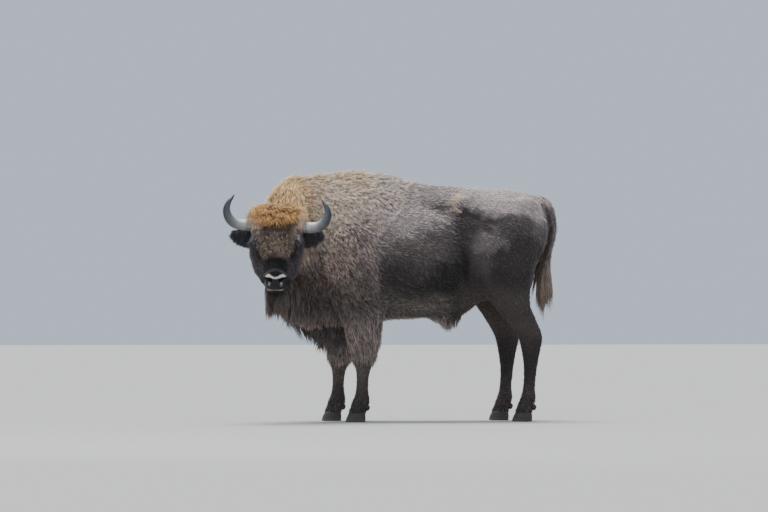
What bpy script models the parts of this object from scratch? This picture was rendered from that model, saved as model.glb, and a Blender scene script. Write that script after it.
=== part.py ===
"""Life-size standing wisent bull, its head turned to its left, as named closed solids.

Metres, +Z up. The bull stands along X with its rump at +X and its left side at -Y. The origin is on
the ground under the middle of the bounding box. The solids give the outline out to the tips of the
coat. Soft masses are lofts of rounded sections, fused by a voxel remesh and then parted by thin cuts.
"""

import math

import bmesh
import bpy
import numpy as np
from mathutils import Matrix, Vector

# Driving dimensions.
CENTRING = Vector((0.3624, 0.2180, 0.0))  # from the point under the loin to the origin
GAP = 0.0004  # clearance between neighbouring solids
NECK_GAP = 0.0015  # and between the head and the neck behind it
BODY_VOXEL = 0.017
HEAD_VOXEL = 0.0085
BODY_FACES = 1560
HEAD_FACES = 950

# The head's own frame: its origin is in the skull between the horns, X runs to the muzzle, Y to the
# bull's left and Z out of the forehead.
HEAD_AT = Vector((-1.175, -0.50, 1.32))
HEAD_TURN = math.radians(82.0)  # from the trunk's line towards the bull's left
HEAD_DROP = math.radians(58.0)  # of the face below level
HEAD_ROLL = math.radians(-0.6)
HORN_ROLL = math.radians(-2.5)  # the horns sit a little askew on the head

HOOF_TOP = 0.0616
DEWCLAW_AT = (0.068, 0.024, 0.096)  # from the middle of the foot on the ground
DEWCLAW_RADII = (0.017, 0.013, 0.021)
MOUTH_LEVEL = -0.066  # this and the next two are in the head's frame
JAW_LEVEL = -0.140
EYE_AT = (0.147, 0.131, 0.018)
EYE_RADIUS = 0.0215
FORE_STRIDE = -0.12  # the right forefoot stands this far ahead of the left one
HIND_STRIDE = -0.10  # and the right hind foot this far ahead of its pair

COAT_BROWN = (0.145, 0.105, 0.078, 1)
MANE_BROWN = (0.120, 0.080, 0.055, 1)
CROWN_GINGER = (0.36, 0.20, 0.085, 1)
LEG_BROWN = (0.085, 0.062, 0.050, 1)
FACE_BROWN = (0.060, 0.045, 0.040, 1)
HORN_GREY = (0.30, 0.28, 0.25, 1)
HOOF_BLACK = (0.030, 0.027, 0.025, 1)
EYE_BLACK = (0.010, 0.008, 0.007, 1)


def clear_scene():
    for thing in list(bpy.data.objects):
        bpy.data.objects.remove(thing, do_unlink=True)


def collection(name, hidden=False):
    made = bpy.data.collections.new(name)
    made.hide_render = hidden
    bpy.context.scene.collection.children.link(made)
    return made


def material(name, colour, roughness):
    made = bpy.data.materials.new(name)
    made.use_nodes = True
    shader = made.node_tree.nodes["Principled BSDF"]
    shader.inputs["Base Color"].default_value = colour
    shader.inputs["Roughness"].default_value = roughness
    made.diffuse_color = colour
    return made


def head_matrix():
    """The head's frame in the model's."""
    return level_matrix() @ Matrix.Rotation(HEAD_DROP, 4, "Y")


def level_matrix(roll=HEAD_ROLL):
    """The head's frame before the face drops: X level and ahead, Y to the bull's left, Z up."""
    turn = Matrix.Rotation(math.pi + HEAD_TURN, 4, "Z")
    return Matrix.Translation(HEAD_AT) @ turn @ Matrix.Rotation(roll, 4, "X")


# A leg's frame: X runs up, Y to the bull's right and Z to the rear.
UPRIGHT = Matrix(((0, 0, 1, 0), (0, 1, 0, 0), (1, 0, 0, 0), (0, 0, 0, 1)))


def eased(rows, count):
    """Rows read off a Catmull-Rom curve through the given ones, count steps to each span."""
    rows = np.asarray(rows, float)
    padded = np.vstack([2 * rows[0] - rows[1], rows, 2 * rows[-1] - rows[-2]])
    a, b, c, d = (padded[k : len(rows) - 1 + k, None, :] for k in range(4))
    t = (np.arange(count) / count)[None, :, None]
    curve = b + 0.5 * t * (c - a + t * (2 * a - 5 * b + 4 * c - d + t * (3 * (b - c) + d - a)))
    return np.vstack([curve.reshape(-1, rows.shape[1]), rows[-1]])


def rounded(rows, around):
    """Rings of points. Each row is x, y, heading in degrees, top, widest level, bottom, half width,
    and how square the section is above and below its widest level, where 2 is an ellipse."""
    x, y, heading, top, wide, bottom, half, power_up, power_down = (c[:, None] for c in rows.T)
    angle = np.linspace(0, 2 * math.pi, around, endpoint=False)[None, :]
    across, rise = np.cos(angle), np.sin(angle)
    power = 2 / np.where(rise > 0, power_up, power_down)
    side = half * np.sign(across) * np.abs(across) ** power
    height = wide + np.where(rise > 0, top - wide, wide - bottom) * np.sign(rise) * np.abs(rise) ** power
    turn = np.radians(heading)
    return np.stack([x - np.sin(turn) * side, y + np.cos(turn) * side, height], axis=-1)


def loft(name, rows, into, matrix=None, around=24, steps=3):
    """A closed mass through rounded sections, its two ends closed with fans."""
    rings = rounded(eased(rows, steps), around)
    count = len(rings)
    points = np.vstack([rings.reshape(-1, 3), rings[0].mean(0), rings[-1].mean(0)])
    i, j = np.meshgrid(np.arange(count - 1), np.arange(around), indexing="ij")
    here, there = i * around + j, i * around + (j + 1) % around
    quads = np.stack([here, there, there + around, here + around], axis=-1).reshape(-1, 4)
    j = np.arange(around)
    after = (j + 1) % around
    start = np.stack([after, j, np.full(around, count * around)], axis=-1)
    last = (count - 1) * around
    end = np.stack([last + j, last + after, np.full(around, count * around + 1)], axis=-1)
    mesh = bpy.data.meshes.new(name)
    mesh.from_pydata(points.tolist(), [], quads.tolist() + start.tolist() + end.tolist())
    mesh.transform(Matrix.Translation(CENTRING) @ (matrix or Matrix()))
    outward(mesh)
    made = bpy.data.objects.new(name, mesh)
    into.objects.link(made)
    return made


def outward(mesh):
    """Doubles merged and faces turned to point out."""
    shape = bmesh.new()
    shape.from_mesh(mesh)
    bmesh.ops.remove_doubles(shape, verts=shape.verts, dist=1e-6)
    bmesh.ops.recalc_face_normals(shape, faces=shape.faces)
    shape.to_mesh(mesh)
    shape.free()


def block(name, low, high, into, matrix=None):
    """A box between two corners, for cutting."""
    shape = bmesh.new()
    bmesh.ops.create_cube(shape, size=1)
    low, high = Vector(low), Vector(high)
    bmesh.ops.scale(shape, vec=high - low, verts=shape.verts)
    bmesh.ops.translate(shape, vec=(low + high) / 2, verts=shape.verts)
    mesh = bpy.data.meshes.new(name)
    shape.to_mesh(mesh)
    shape.free()
    mesh.transform(Matrix.Translation(CENTRING) @ (matrix or Matrix()))
    made = bpy.data.objects.new(name, mesh)
    into.objects.link(made)
    return made


def ball(name, centre, radii, into, matrix=None, rings=6):
    shape = bmesh.new()
    bmesh.ops.create_uvsphere(shape, u_segments=2 * rings, v_segments=rings, radius=1)
    bmesh.ops.scale(shape, vec=Vector(radii), verts=shape.verts)
    bmesh.ops.translate(shape, vec=Vector(centre), verts=shape.verts)
    mesh = bpy.data.meshes.new(name)
    shape.to_mesh(mesh)
    shape.free()
    mesh.transform(Matrix.Translation(CENTRING) @ (matrix or Matrix()))
    made = bpy.data.objects.new(name, mesh)
    into.objects.link(made)
    return made


def settle(thing):
    """The object's evaluated mesh in place of its own, with no modifiers left."""
    graph = bpy.context.evaluated_depsgraph_get()
    mesh = bpy.data.meshes.new_from_object(thing.evaluated_get(graph))
    thing.modifiers.clear()
    thing.data = mesh
    return thing


def fused(name, masses, into, voxel, passes, faces):
    """The masses as one closed skin of about the given number of triangles."""
    shape = bmesh.new()
    for mass in masses:
        shape.from_mesh(mass.data)
    mesh = bpy.data.meshes.new(name)
    shape.to_mesh(mesh)
    shape.free()
    made = bpy.data.objects.new(name, mesh)
    into.objects.link(made)
    remesh = made.modifiers.new("Fuse", "REMESH")
    remesh.mode = "VOXEL"
    remesh.voxel_size = voxel
    smooth = made.modifiers.new("Soften", "SMOOTH")
    smooth.factor = 0.5
    smooth.iterations = passes
    settle(made)
    triangles = sum(len(face.vertices) - 2 for face in made.data.polygons)
    thin = made.modifiers.new("Thin out", "DECIMATE")
    thin.ratio = faces / triangles
    return settle(made)


def boolean(thing, other, operation, solver="EXACT"):
    cut = thing.modifiers.new("Cut", "BOOLEAN")
    cut.operation = operation
    cut.object = other
    cut.solver = solver
    thing.modifiers.new("Triangles", "TRIANGULATE")
    return settle(thing)


def taken(whole, low, high, name, cutters, nodes, matrix=None):
    """The part of whole inside the box becomes a node of its own, and whole loses it and a thin gap."""
    box = block(name + "_box", low, high, cutters, matrix)
    node = bpy.data.objects.new(name, whole.data.copy())
    nodes.objects.link(node)
    boolean(node, box, "INTERSECT")
    margin = Vector((GAP,) * 3)
    wider = block(name + "_cut", Vector(low) - margin, Vector(high) + margin, cutters, matrix)
    boolean(whole, wider, "DIFFERENCE")
    return node


# x, y, heading, top, widest level, bottom, half width, squareness above and below.
TRUNK = [
    (0.752, 0, 0, 1.37, 1.29, 1.21, 0.03, 2, 2),
    (0.735, 0, 0, 1.43, 1.27, 1.13, 0.08, 2, 2),
    (0.705, 0, 0, 1.49, 1.27, 1.05, 0.13, 2, 2),
    (0.64, 0, 0, 1.545, 1.27, 0.96, 0.18, 2, 2),
    (0.52, 0, 0, 1.567, 1.26, 0.89, 0.225, 2.2, 2),
    (0.36, 0, 0, 1.579, 1.25, 0.83, 0.250, 2.2, 2),
    (0.20, 0, 0, 1.585, 1.20, 0.775, 0.268, 2.2, 2),
    (0.06, 0, 0, 1.596, 1.13, 0.720, 0.285, 2.1, 2.1),
    (-0.10, 0, 0, 1.602, 1.09, 0.697, 0.300, 2.0, 2.1),
    (-0.22, 0, 0, 1.630, 1.08, 0.692, 0.305, 1.9, 2.1),
    (-0.32, 0, 0, 1.672, 1.09, 0.690, 0.303, 1.85, 2.1),
    (-0.46, 0, 0, 1.700, 1.11, 0.680, 0.295, 1.8, 2),
    (-0.62, 0, 0, 1.705, 1.12, 0.660, 0.282, 1.75, 2),
    (-0.78, 0, 0, 1.690, 1.13, 0.640, 0.262, 1.8, 1.9),
    (-0.92, -0.03, 10, 1.675, 1.15, 0.650, 0.240, 1.9, 1.8),
    (-1.02, -0.10, 30, 1.665, 1.18, 0.720, 0.215, 2.0, 1.8),
    (-1.08, -0.20, 50, 1.628, 1.22, 0.830, 0.190, 2.1, 1.9),
    (-1.125, -0.31, 65, 1.556, 1.24, 0.930, 0.168, 2, 2),
    (-1.13, -0.40, 75, 1.430, 1.24, 1.030, 0.130, 2, 2),
]

# The mane that hangs under the throat, neck and brisket.
THROAT_MANE = [
    (-1.175, -0.47, 78, 1.05, 0.95, 0.79, 0.08, 2, 1.6),
    (-1.12, -0.33, 60, 1.10, 0.95, 0.700, 0.10, 2, 1.6),
    (-1.03, -0.17, 38, 1.10, 0.90, 0.620, 0.12, 2, 1.6),
    (-0.94, -0.07, 18, 1.10, 0.85, 0.550, 0.13, 2, 1.6),
    (-0.84, -0.02, 5, 1.00, 0.80, 0.505, 0.13, 2, 1.6),
    (-0.75, 0, 0, 1.00, 0.76, 0.490, 0.12, 2, 1.6),
    (-0.65, 0, 0, 0.95, 0.75, 0.530, 0.10, 2, 1.7),
    (-0.53, 0, 0, 0.90, 0.75, 0.600, 0.08, 2, 1.8),
    (-0.42, 0, 0, 0.85, 0.75, 0.660, 0.05, 2, 2),
]

# The sheath and its tuft under the belly.
SHEATH = [
    (-0.045, 0, 0, 0.80, 0.74, 0.700, 0.020, 2, 2),
    (-0.01, 0, 0, 0.80, 0.73, 0.655, 0.034, 2, 1.7),
    (0.035, 0, 0, 0.80, 0.72, 0.603, 0.036, 2, 1.6),
    (0.075, 0, 0, 0.81, 0.73, 0.628, 0.038, 2, 1.7),
    (0.13, 0, 0, 0.85, 0.78, 0.672, 0.042, 2, 2),
    (0.21, 0, 0, 0.90, 0.83, 0.738, 0.045, 2, 2),
    (0.29, 0, 0, 0.95, 0.88, 0.800, 0.040, 2, 2),
]

# The head without its hair pad, in its own frame.
HEAD = [
    (-0.125, 0, 0, 0.03, -0.04, -0.10, 0.05, 2, 2),
    (-0.09, 0, 0, 0.065, -0.04, -0.17, 0.12, 2, 2),
    (-0.03, 0, 0, 0.088, -0.03, -0.21, 0.158, 2.2, 2),
    (0.05, 0, 0, 0.090, -0.04, -0.235, 0.172, 2.3, 2),
    (0.12, 0, 0, 0.083, -0.07, -0.245, 0.175, 2.2, 2.3),
    (0.19, 0, 0, 0.075, -0.10, -0.235, 0.168, 1.9, 2.4),
    (0.26, 0, 0, 0.066, -0.10, -0.205, 0.150, 1.8, 2.3),
    (0.33, 0, 0, 0.054, -0.090, -0.172, 0.132, 1.8, 2.3),
    (0.385, 0, 0, 0.044, -0.078, -0.150, 0.101, 2.0, 2.3),
    (0.43, 0, 0, 0.034, -0.05, -0.132, 0.077, 2.5, 2.4),
    (0.462, 0, 0, 0.014, -0.05, -0.118, 0.066, 2.5, 2.4),
    (0.478, 0, 0, -0.015, -0.05, -0.090, 0.045, 2.2, 2.2),
]

# The beard hangs from the chin: height, then x and y as in the other rows after UPRIGHT.
BEARD = [
    (1.150, -0.40, 0, -1.08, -1.180, -1.28, 0.05, 2, 2),
    (1.100, -0.43, 0, -1.020, -1.183, -1.346, 0.075, 2.2, 2.2),
    (1.035, -0.47, 0, -1.030, -1.186, -1.342, 0.085, 2.2, 2.2),
    (0.970, -0.51, 0, -1.050, -1.188, -1.326, 0.085, 2.2, 2.2),
    (0.900, -0.55, 0, -1.087, -1.190, -1.288, 0.080, 2.2, 2.2),
    (0.835, -0.575, 0, -1.105, -1.190, -1.272, 0.072, 2.2, 2.2),
    (0.780, -0.580, 0, -1.118, -1.188, -1.258, 0.060, 2.2, 2.2),
    (0.745, -0.578, 0, -1.135, -1.185, -1.240, 0.040, 2, 2),
    (0.730, -0.575, 0, -1.160, -1.182, -1.210, 0.020, 2, 2),
]

# Height, y, heading, rear, widest place, front, half width, squareness behind and in front.
FORELEG = [
    (1.50, 0.10, 0, -0.52, -0.61, -0.70, 0.07, 2, 2),
    (1.40, 0.12, 0, -0.47, -0.62, -0.76, 0.11, 2.2, 2.2),
    (1.27, 0.15, 0, -0.43, -0.63, -0.83, 0.135, 2.3, 2.3),
    (1.12, 0.17, 0, -0.40, -0.63, -0.885, 0.142, 2.3, 2.2),
    (0.99, 0.18, 0, -0.385, -0.61, -0.88, 0.140, 2.3, 2.2),
    (0.88, 0.187, 0, -0.375, -0.585, -0.82, 0.130, 2.3, 2.2),
    (0.78, 0.19, 0, -0.385, -0.57, -0.75, 0.115, 2.2, 2.2),
    (0.68, 0.187, 0, -0.412, -0.56, -0.70, 0.100, 2.2, 2.2),
    (0.59, 0.182, 0, -0.425, -0.555, -0.672, 0.086, 2.1, 2.2),
    (0.51, 0.177, 0, -0.437, -0.555, -0.650, 0.072, 2.1, 2.2),
    (0.44, 0.174, 0, -0.460, -0.555, -0.632, 0.064, 2.2, 2.3),
    (0.38, 0.172, 0, -0.485, -0.555, -0.612, 0.053, 2.2, 2.2),
    (0.29, 0.170, 0, -0.508, -0.555, -0.602, 0.045, 2.1, 2.1),
    (0.20, 0.170, 0, -0.508, -0.558, -0.608, 0.046, 2.1, 2.1),
    (0.15, 0.170, 0, -0.500, -0.565, -0.625, 0.054, 2.2, 2.2),
    (0.105, 0.170, 0, -0.520, -0.580, -0.637, 0.050, 2.2, 2.2),
    (0.060, 0.170, 0, -0.530, -0.595, -0.657, 0.056, 2.3, 2.3),
    (0.040, 0.170, 0, -0.545, -0.600, -0.655, 0.045, 2.3, 2.3),
]

HINDLEG = [
    (1.51, 0.10, 0, 0.61, 0.42, 0.24, 0.08, 2, 2),
    (1.43, 0.11, 0, 0.675, 0.42, 0.17, 0.125, 2.2, 2.3),
    (1.31, 0.125, 0, 0.725, 0.43, 0.145, 0.150, 2.3, 2.3),
    (1.18, 0.135, 0, 0.698, 0.44, 0.140, 0.155, 2.3, 2.3),
    (1.06, 0.145, 0, 0.645, 0.44, 0.155, 0.148, 2.2, 2.2),
    (0.96, 0.155, 0, 0.620, 0.44, 0.195, 0.132, 2.2, 2.2),
    (0.86, 0.165, 0, 0.603, 0.45, 0.265, 0.112, 2.1, 2.1),
    (0.77, 0.173, 0, 0.611, 0.49, 0.345, 0.092, 2, 2.1),
    (0.69, 0.180, 0, 0.640, 0.53, 0.415, 0.076, 2, 2.1),
    (0.62, 0.184, 0, 0.668, 0.57, 0.470, 0.066, 2, 2.1),
    (0.56, 0.186, 0, 0.680, 0.59, 0.505, 0.060, 2, 2.2),
    (0.49, 0.186, 0, 0.668, 0.593, 0.522, 0.055, 2, 2.2),
    (0.42, 0.184, 0, 0.654, 0.593, 0.533, 0.047, 2, 2.1),
    (0.33, 0.182, 0, 0.640, 0.590, 0.540, 0.042, 2, 2),
    (0.22, 0.181, 0, 0.630, 0.580, 0.532, 0.044, 2, 2),
    (0.16, 0.180, 0, 0.636, 0.575, 0.518, 0.053, 2.2, 2.2),
    (0.11, 0.180, 0, 0.612, 0.558, 0.503, 0.049, 2.2, 2.2),
    (0.062, 0.180, 0, 0.606, 0.545, 0.482, 0.055, 2.3, 2.3),
    (0.040, 0.180, 0, 0.590, 0.540, 0.485, 0.045, 2.3, 2.3),
]

# The tail hangs behind the rump.
TAIL = [
    (1.545, 0, 0, 0.665, 0.63, 0.595, 0.020, 2, 2),
    (1.525, 0, 0, 0.715, 0.65, 0.600, 0.036, 2, 2),
    (1.480, 0, 0, 0.765, 0.705, 0.650, 0.038, 2, 2),
    (1.400, 0, 0, 0.800, 0.762, 0.715, 0.035, 2, 2),
    (1.320, 0, 0, 0.808, 0.772, 0.733, 0.034, 2, 2),
    (1.236, 0, 0, 0.797, 0.760, 0.722, 0.034, 2, 2),
    (1.160, 0, 0, 0.775, 0.740, 0.704, 0.034, 2, 2),
    (1.063, 0, 0, 0.762, 0.722, 0.680, 0.040, 2, 2),
    (0.976, 0, 0, 0.776, 0.716, 0.656, 0.055, 2, 2),
    (0.900, 0, 0, 0.774, 0.706, 0.639, 0.060, 2, 2),
    (0.824, 0, 0, 0.748, 0.692, 0.634, 0.052, 2, 2),
    (0.785, 0, 0, 0.730, 0.688, 0.644, 0.040, 2, 2),
    (0.735, 0, 0, 0.705, 0.690, 0.675, 0.012, 2, 2),
]

# The curled hair between the horns, in the head's frame.
CROWN = [
    (-0.130, 0, 0, 0.055, 0.01, -0.06, 0.07, 2, 2),
    (-0.118, 0, 0, 0.095, 0.02, -0.09, 0.155, 2.4, 2),
    (-0.085, 0, 0, 0.118, 0.03, -0.11, 0.192, 2.6, 2),
    (-0.040, 0, 0, 0.130, 0.03, -0.11, 0.204, 2.6, 2),
    (0.010, 0, 0, 0.132, 0.02, -0.11, 0.196, 2.4, 2),
    (0.060, 0, 0, 0.122, 0.01, -0.10, 0.176, 2.2, 2),
    (0.110, 0, 0, 0.106, 0.00, -0.08, 0.150, 2, 2),
    (0.165, 0, 0, 0.090, 0.00, -0.05, 0.110, 2, 2),
    (0.205, 0, 0, 0.074, 0.01, -0.02, 0.060, 2, 2),
]

# An ear from root to tip in the level head frame, on the bull's left: x, y, heading and so on.
EAR = [
    (-0.070, 0.120, 90, -0.045, -0.090, -0.130, 0.020, 2, 2),
    (-0.070, 0.160, 90, -0.032, -0.090, -0.142, 0.028, 2, 2),
    (-0.068, 0.200, 90, -0.028, -0.088, -0.150, 0.030, 2, 2),
    (-0.062, 0.240, 90, -0.028, -0.080, -0.142, 0.026, 2, 2),
    (-0.054, 0.280, 90, -0.034, -0.068, -0.112, 0.018, 2, 2),
    (-0.048, 0.310, 90, -0.048, -0.063, -0.082, 0.006, 2, 2),
]

# A horn on the bull's left in the level head frame: x, y, z and radius.
HORN = [
    (-0.030, 0.120, -0.004, 0.0370),
    (-0.015, 0.170, -0.006, 0.0365),
    (0.008, 0.230, -0.009, 0.0345),
    (0.032, 0.288, 0.005, 0.0318),
    (0.046, 0.324, 0.042, 0.0275),
    (0.044, 0.337, 0.090, 0.0220),
    (0.030, 0.326, 0.136, 0.0155),
    (0.014, 0.306, 0.168, 0.0095),
    (0.004, 0.292, 0.190, 0.0035),
]

# One claw of a hoof, from the ground up: height, y and so on as for the legs, about the foot's middle.
CLAW = [
    (0.000, 0.031, 0, 0.050, -0.010, -0.074, 0.0255, 2.6, 2.0),
    (0.012, 0.031, 0, 0.053, -0.010, -0.073, 0.0280, 2.6, 2.0),
    (0.036, 0.030, 0, 0.054, -0.008, -0.064, 0.0280, 2.4, 2.0),
    (0.0616, 0.028, 0, 0.050, -0.004, -0.050, 0.0265, 2.2, 2.0),
]


def strode(rows, side, stride):
    """A leg's rows for one side, its lower end moved along by the stride."""
    rows = np.array(rows, float)
    rows[:, 1] *= side
    share = np.clip((1.15 - rows[:, 0]) / 0.65, 0, 1)
    rows[:, 3:6] += (stride * share * share * (3 - 2 * share))[:, None]
    return rows


def horn(name, side, into, radius_gain=0.0):
    """A tapering round bar swept along the horn's curve."""
    curve = bpy.data.curves.new(name, "CURVE")
    curve.dimensions = "3D"
    curve.bevel_depth = 1
    curve.bevel_resolution = 2
    curve.use_fill_caps = True
    line = eased(HORN, 2)
    path = curve.splines.new("POLY")
    path.points.add(len(line) - 1)
    for point, (x, y, z, radius) in zip(path.points, line):
        point.co = (x, side * y, z, 1)
        point.radius = radius + radius_gain
    bar = bpy.data.objects.new(name, curve)
    into.objects.link(bar)
    mesh = bpy.data.meshes.new_from_object(bar.evaluated_get(bpy.context.evaluated_depsgraph_get()))
    bpy.data.objects.remove(bar, do_unlink=True)
    outward(mesh)
    mesh.transform(Matrix.Translation(CENTRING) @ level_matrix(HORN_ROLL))
    made = bpy.data.objects.new(name, mesh)
    into.objects.link(made)
    return made


def grown(thing, into, amount=GAP):
    """A cutter that stands off the given solid by the gap."""
    made = bpy.data.objects.new(thing.name + "_grown", thing.data.copy())
    into.objects.link(made)
    swell = made.modifiers.new("Stand off", "DISPLACE")
    swell.strength = amount
    swell.mid_level = 0
    return settle(made)


def largest_only(thing):
    """The mesh without the crumbs that a cut can leave loose."""
    shape = bmesh.new()
    shape.from_mesh(thing.data)
    left, groups = set(shape.verts), []
    while left:
        front, group = [left.pop()], []
        while front:
            vertex = front.pop()
            group.append(vertex)
            for edge in vertex.link_edges:
                other = edge.other_vert(vertex)
                if other in left:
                    left.remove(other)
                    front.append(other)
        groups.append(group)
    groups.sort(key=len)
    for group in groups[:-1]:
        bmesh.ops.delete(shape, geom=group, context="VERTS")
    shape.to_mesh(thing.data)
    shape.free()


def dress(thing, look):
    """One material, and smooth shading that stops at the cut edges."""
    thing.data.materials.clear()
    thing.data.materials.append(look)
    thing.data.shade_smooth()
    thing.data.set_sharp_from_angle(angle=math.radians(50))


clear_scene()
WISENT = collection("wisent")
CUTTERS = collection("cutters", hidden=True)
SKULL = head_matrix()
LEVEL = level_matrix()

masses = [loft("trunk", TRUNK, CUTTERS), loft("throat", THROAT_MANE, CUTTERS)]
masses += [loft("sheath_mass", SHEATH, CUTTERS, around=16)]
for side in (-1, 1):
    masses.append(loft("fore", strode(FORELEG, side, FORE_STRIDE * (side > 0)), CUTTERS, UPRIGHT))
    masses.append(loft("hind", strode(HINDLEG, side, HIND_STRIDE * (side > 0)), CUTTERS, UPRIGHT))
body = fused("barrel", masses, WISENT, BODY_VOXEL, 4, BODY_FACES)

head_masses = [loft("skull", HEAD, CUTTERS, SKULL), loft("crown", CROWN, CUTTERS, SKULL)]
head_masses += [loft("chin_hair", BEARD, CUTTERS, UPRIGHT)]
head = fused("head", head_masses, WISENT, HEAD_VOXEL, 3, HEAD_FACES)

tail = loft("tail", TAIL, WISENT, UPRIGHT, around=12, steps=1)
for mass in masses + head_masses:
    bpy.data.objects.remove(mass, do_unlink=True)

looks = {
    "coat": material("Coat", COAT_BROWN, 0.9),
    "mane": material("Mane", MANE_BROWN, 0.9),
    "crown": material("Crown", CROWN_GINGER, 0.9),
    "leg": material("Leg coat", LEG_BROWN, 0.85),
    "face": material("Face coat", FACE_BROWN, 0.8),
    "horn": material("Horn", HORN_GREY, 0.4),
    "hoof": material("Hoof", HOOF_BLACK, 0.5),
    "eye": material("Eye", EYE_BLACK, 0.08),
}

# Horns, ears and eyes, each in a socket.
whole_head = bpy.data.objects.new("whole_head", head.data.copy())
CUTTERS.objects.link(whole_head)
features = []
for side, hand in ((-1, "right"), (1, "left")):
    features.append(horn(f"{hand}_horn", side, WISENT))
    dress(features[-1], looks["horn"])
    ear = np.array(EAR, float)
    ear[:, 1] *= side
    features.append(loft(f"{hand}_ear", ear, WISENT, LEVEL, around=10, steps=1))
    dress(features[-1], looks["face"])
    eye_at = (EYE_AT[0], side * EYE_AT[1], EYE_AT[2])
    features.append(ball(f"{hand}_eye", eye_at, (EYE_RADIUS,) * 3, WISENT, SKULL))
    dress(features[-1], looks["eye"])
for feature in features:
    boolean(head, grown(feature, CUTTERS), "DIFFERENCE")

# The legs below the body. Each part: name, lowest and highest level, and how far it reaches inward.
boolean(body, block("ground", (-2, -1, -0.1), (2, 1, HOOF_TOP + GAP), CUTTERS), "DIFFERENCE")
LEG_PARTS = {
    "fore": [
        ("fore_pastern", 0.0, 0.15, 0.02),
        ("fore_cannon", 0.15, 0.41, 0.02),
        ("forearm", 0.41, 0.655, 0.105),
    ],
    "hind": [
        ("hind_pastern", 0.0, 0.15, 0.02),
        ("hind_cannon", 0.15, 0.53, 0.02),
        ("gaskin", 0.53, 0.80, 0.02),
    ],
}
LEG_REACH = {"fore": (-0.72, -0.36), "hind": (0.38, 0.80)}
for side, hand in ((-1, "left"), (1, "right")):
    for leg, parts in LEG_PARTS.items():
        stride = (FORE_STRIDE if leg == "fore" else HIND_STRIDE) * (side > 0)
        front, back = LEG_REACH[leg][0] + stride, LEG_REACH[leg][1] + stride / 2
        for name, low, high, inner in parts:
            y = sorted((side * inner, side * 0.45))
            corner, far_corner = (front, y[0], low), (back, y[1], high - GAP)
            dress(taken(body, corner, far_corner, f"{hand}_{name}", CUTTERS, WISENT), looks["leg"])

# The trunk's own parts.
belly_slope = Matrix.Translation((-0.07, 0, 0.694)) @ Matrix.Rotation(math.radians(-16), 4, "Y")
parts = [taken(body, (0, -0.06, -0.2), (0.40, 0.06, -0.004), "sheath", CUTTERS, WISENT, belly_slope)]
parts.append(taken(body, (-1.35, -0.7, 0.40), (-0.33, 0.4, 0.655 - GAP), "brisket_mane", CUTTERS, WISENT))
for side, hand in ((-1, "left"), (1, "right")):
    y = sorted((side * 0.17, side * 0.5))
    lead = FORE_STRIDE / 3 * (side > 0)
    reach = (-0.88 + lead, y[0], 0.6), (-0.38 + lead, y[1], 1.38)
    parts.append(taken(body, *reach, f"{hand}_shoulder", CUTTERS, WISENT))
    reach = (0.16, y[0], 0.75), (0.9, y[1], 1.42)
    parts.append(taken(body, *reach, f"{hand}_thigh", CUTTERS, WISENT))
neck = taken(body, (-1.6, -1, 0.5), (-0.93, 1, 2), "neck", CUTTERS, WISENT)
chest = taken(body, (-0.93 + GAP, -1, 0.5), (-0.30, 1, 2), "chest", CUTTERS, WISENT)
rump = taken(body, (0.12, -1, 0.5), (1, 1, 2), "rump", CUTTERS, WISENT)
parts += [neck, chest, rump]
boolean(rump, grown(tail, CUTTERS), "DIFFERENCE")
for feature in features:
    if not feature.name.endswith("eye"):
        boolean(neck, grown(feature, CUTTERS), "DIFFERENCE")
boolean(neck, grown(whole_head, CUTTERS, NECK_GAP), "DIFFERENCE", "MANIFOLD")
largest_only(neck)
for part in parts + [body]:
    dress(part, looks["mane" if part.name in ("brisket_mane", "neck", "chest") else "coat"])

tuft = taken(tail, (0.4, -0.2, 0.6), (1, 0.2, 1.10), "tail_tuft", CUTTERS, WISENT)
for part in (tail, tuft):
    dress(part, looks["coat"])

# The head's own parts.
beard = taken(head, (0.22, -0.3, -0.5), (0.9, 0.3, JAW_LEVEL), "beard", CUTTERS, WISENT, SKULL)
reach = (0.30, -0.3, JAW_LEVEL + GAP), (0.9, 0.3, MOUTH_LEVEL - GAP)
jaw = taken(head, *reach, "lower_jaw", CUTTERS, WISENT, SKULL)
muzzle = taken(head, (0.335, -0.3, MOUTH_LEVEL), (0.9, 0.3, 0.3), "muzzle", CUTTERS, WISENT, SKULL)
for part in (muzzle, jaw, head, beard):
    dress(part, looks["crown" if part is head else "mane" if part is beard else "face"])

# The hooves, two claws to a foot, and the dewclaws behind the fetlocks.
for side, hand in ((-1, "left"), (1, "right")):
    for leg, x, y in (("fore", -0.592, 0.170), ("hind", 0.545, 0.180)):
        x += (FORE_STRIDE if leg == "fore" else HIND_STRIDE) * (side > 0)
        for flip, where in ((-1, "inner"), (1, "outer")):
            foot = Matrix.Translation((x, side * y, 0)) @ Matrix.Diagonal((1, side * flip, 1, 1)) @ UPRIGHT
            claw = loft(f"{hand}_{leg}_{where}_claw", CLAW, WISENT, foot, around=12, steps=1)
            spur_at = (x + DEWCLAW_AT[0], side * (y + flip * DEWCLAW_AT[1]), DEWCLAW_AT[2])
            spur = ball(f"{hand}_{leg}_{where}_dewclaw", spur_at, DEWCLAW_RADII, WISENT, rings=4)
            boolean(bpy.data.objects[f"{hand}_{leg}_pastern"], grown(spur, CUTTERS), "DIFFERENCE")
            dress(claw, looks["hoof"])
            dress(spur, looks["hoof"])

for cutter in list(CUTTERS.objects):
    bpy.data.objects.remove(cutter, do_unlink=True)
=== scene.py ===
"""Life-size wisent bull: one skin, its coat in tufts and locks, and the horns, hooves and eyes.

Everything is worked out in the bull's own frame, in metres: the origin is on the ground under the
loin, +X runs to the rump, -Y to its left side and +Z up. Soft forms are lofts of rounded sections.
"""

import math

import bmesh
import bpy
import numpy as np
from mathutils import Matrix, Vector


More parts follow.
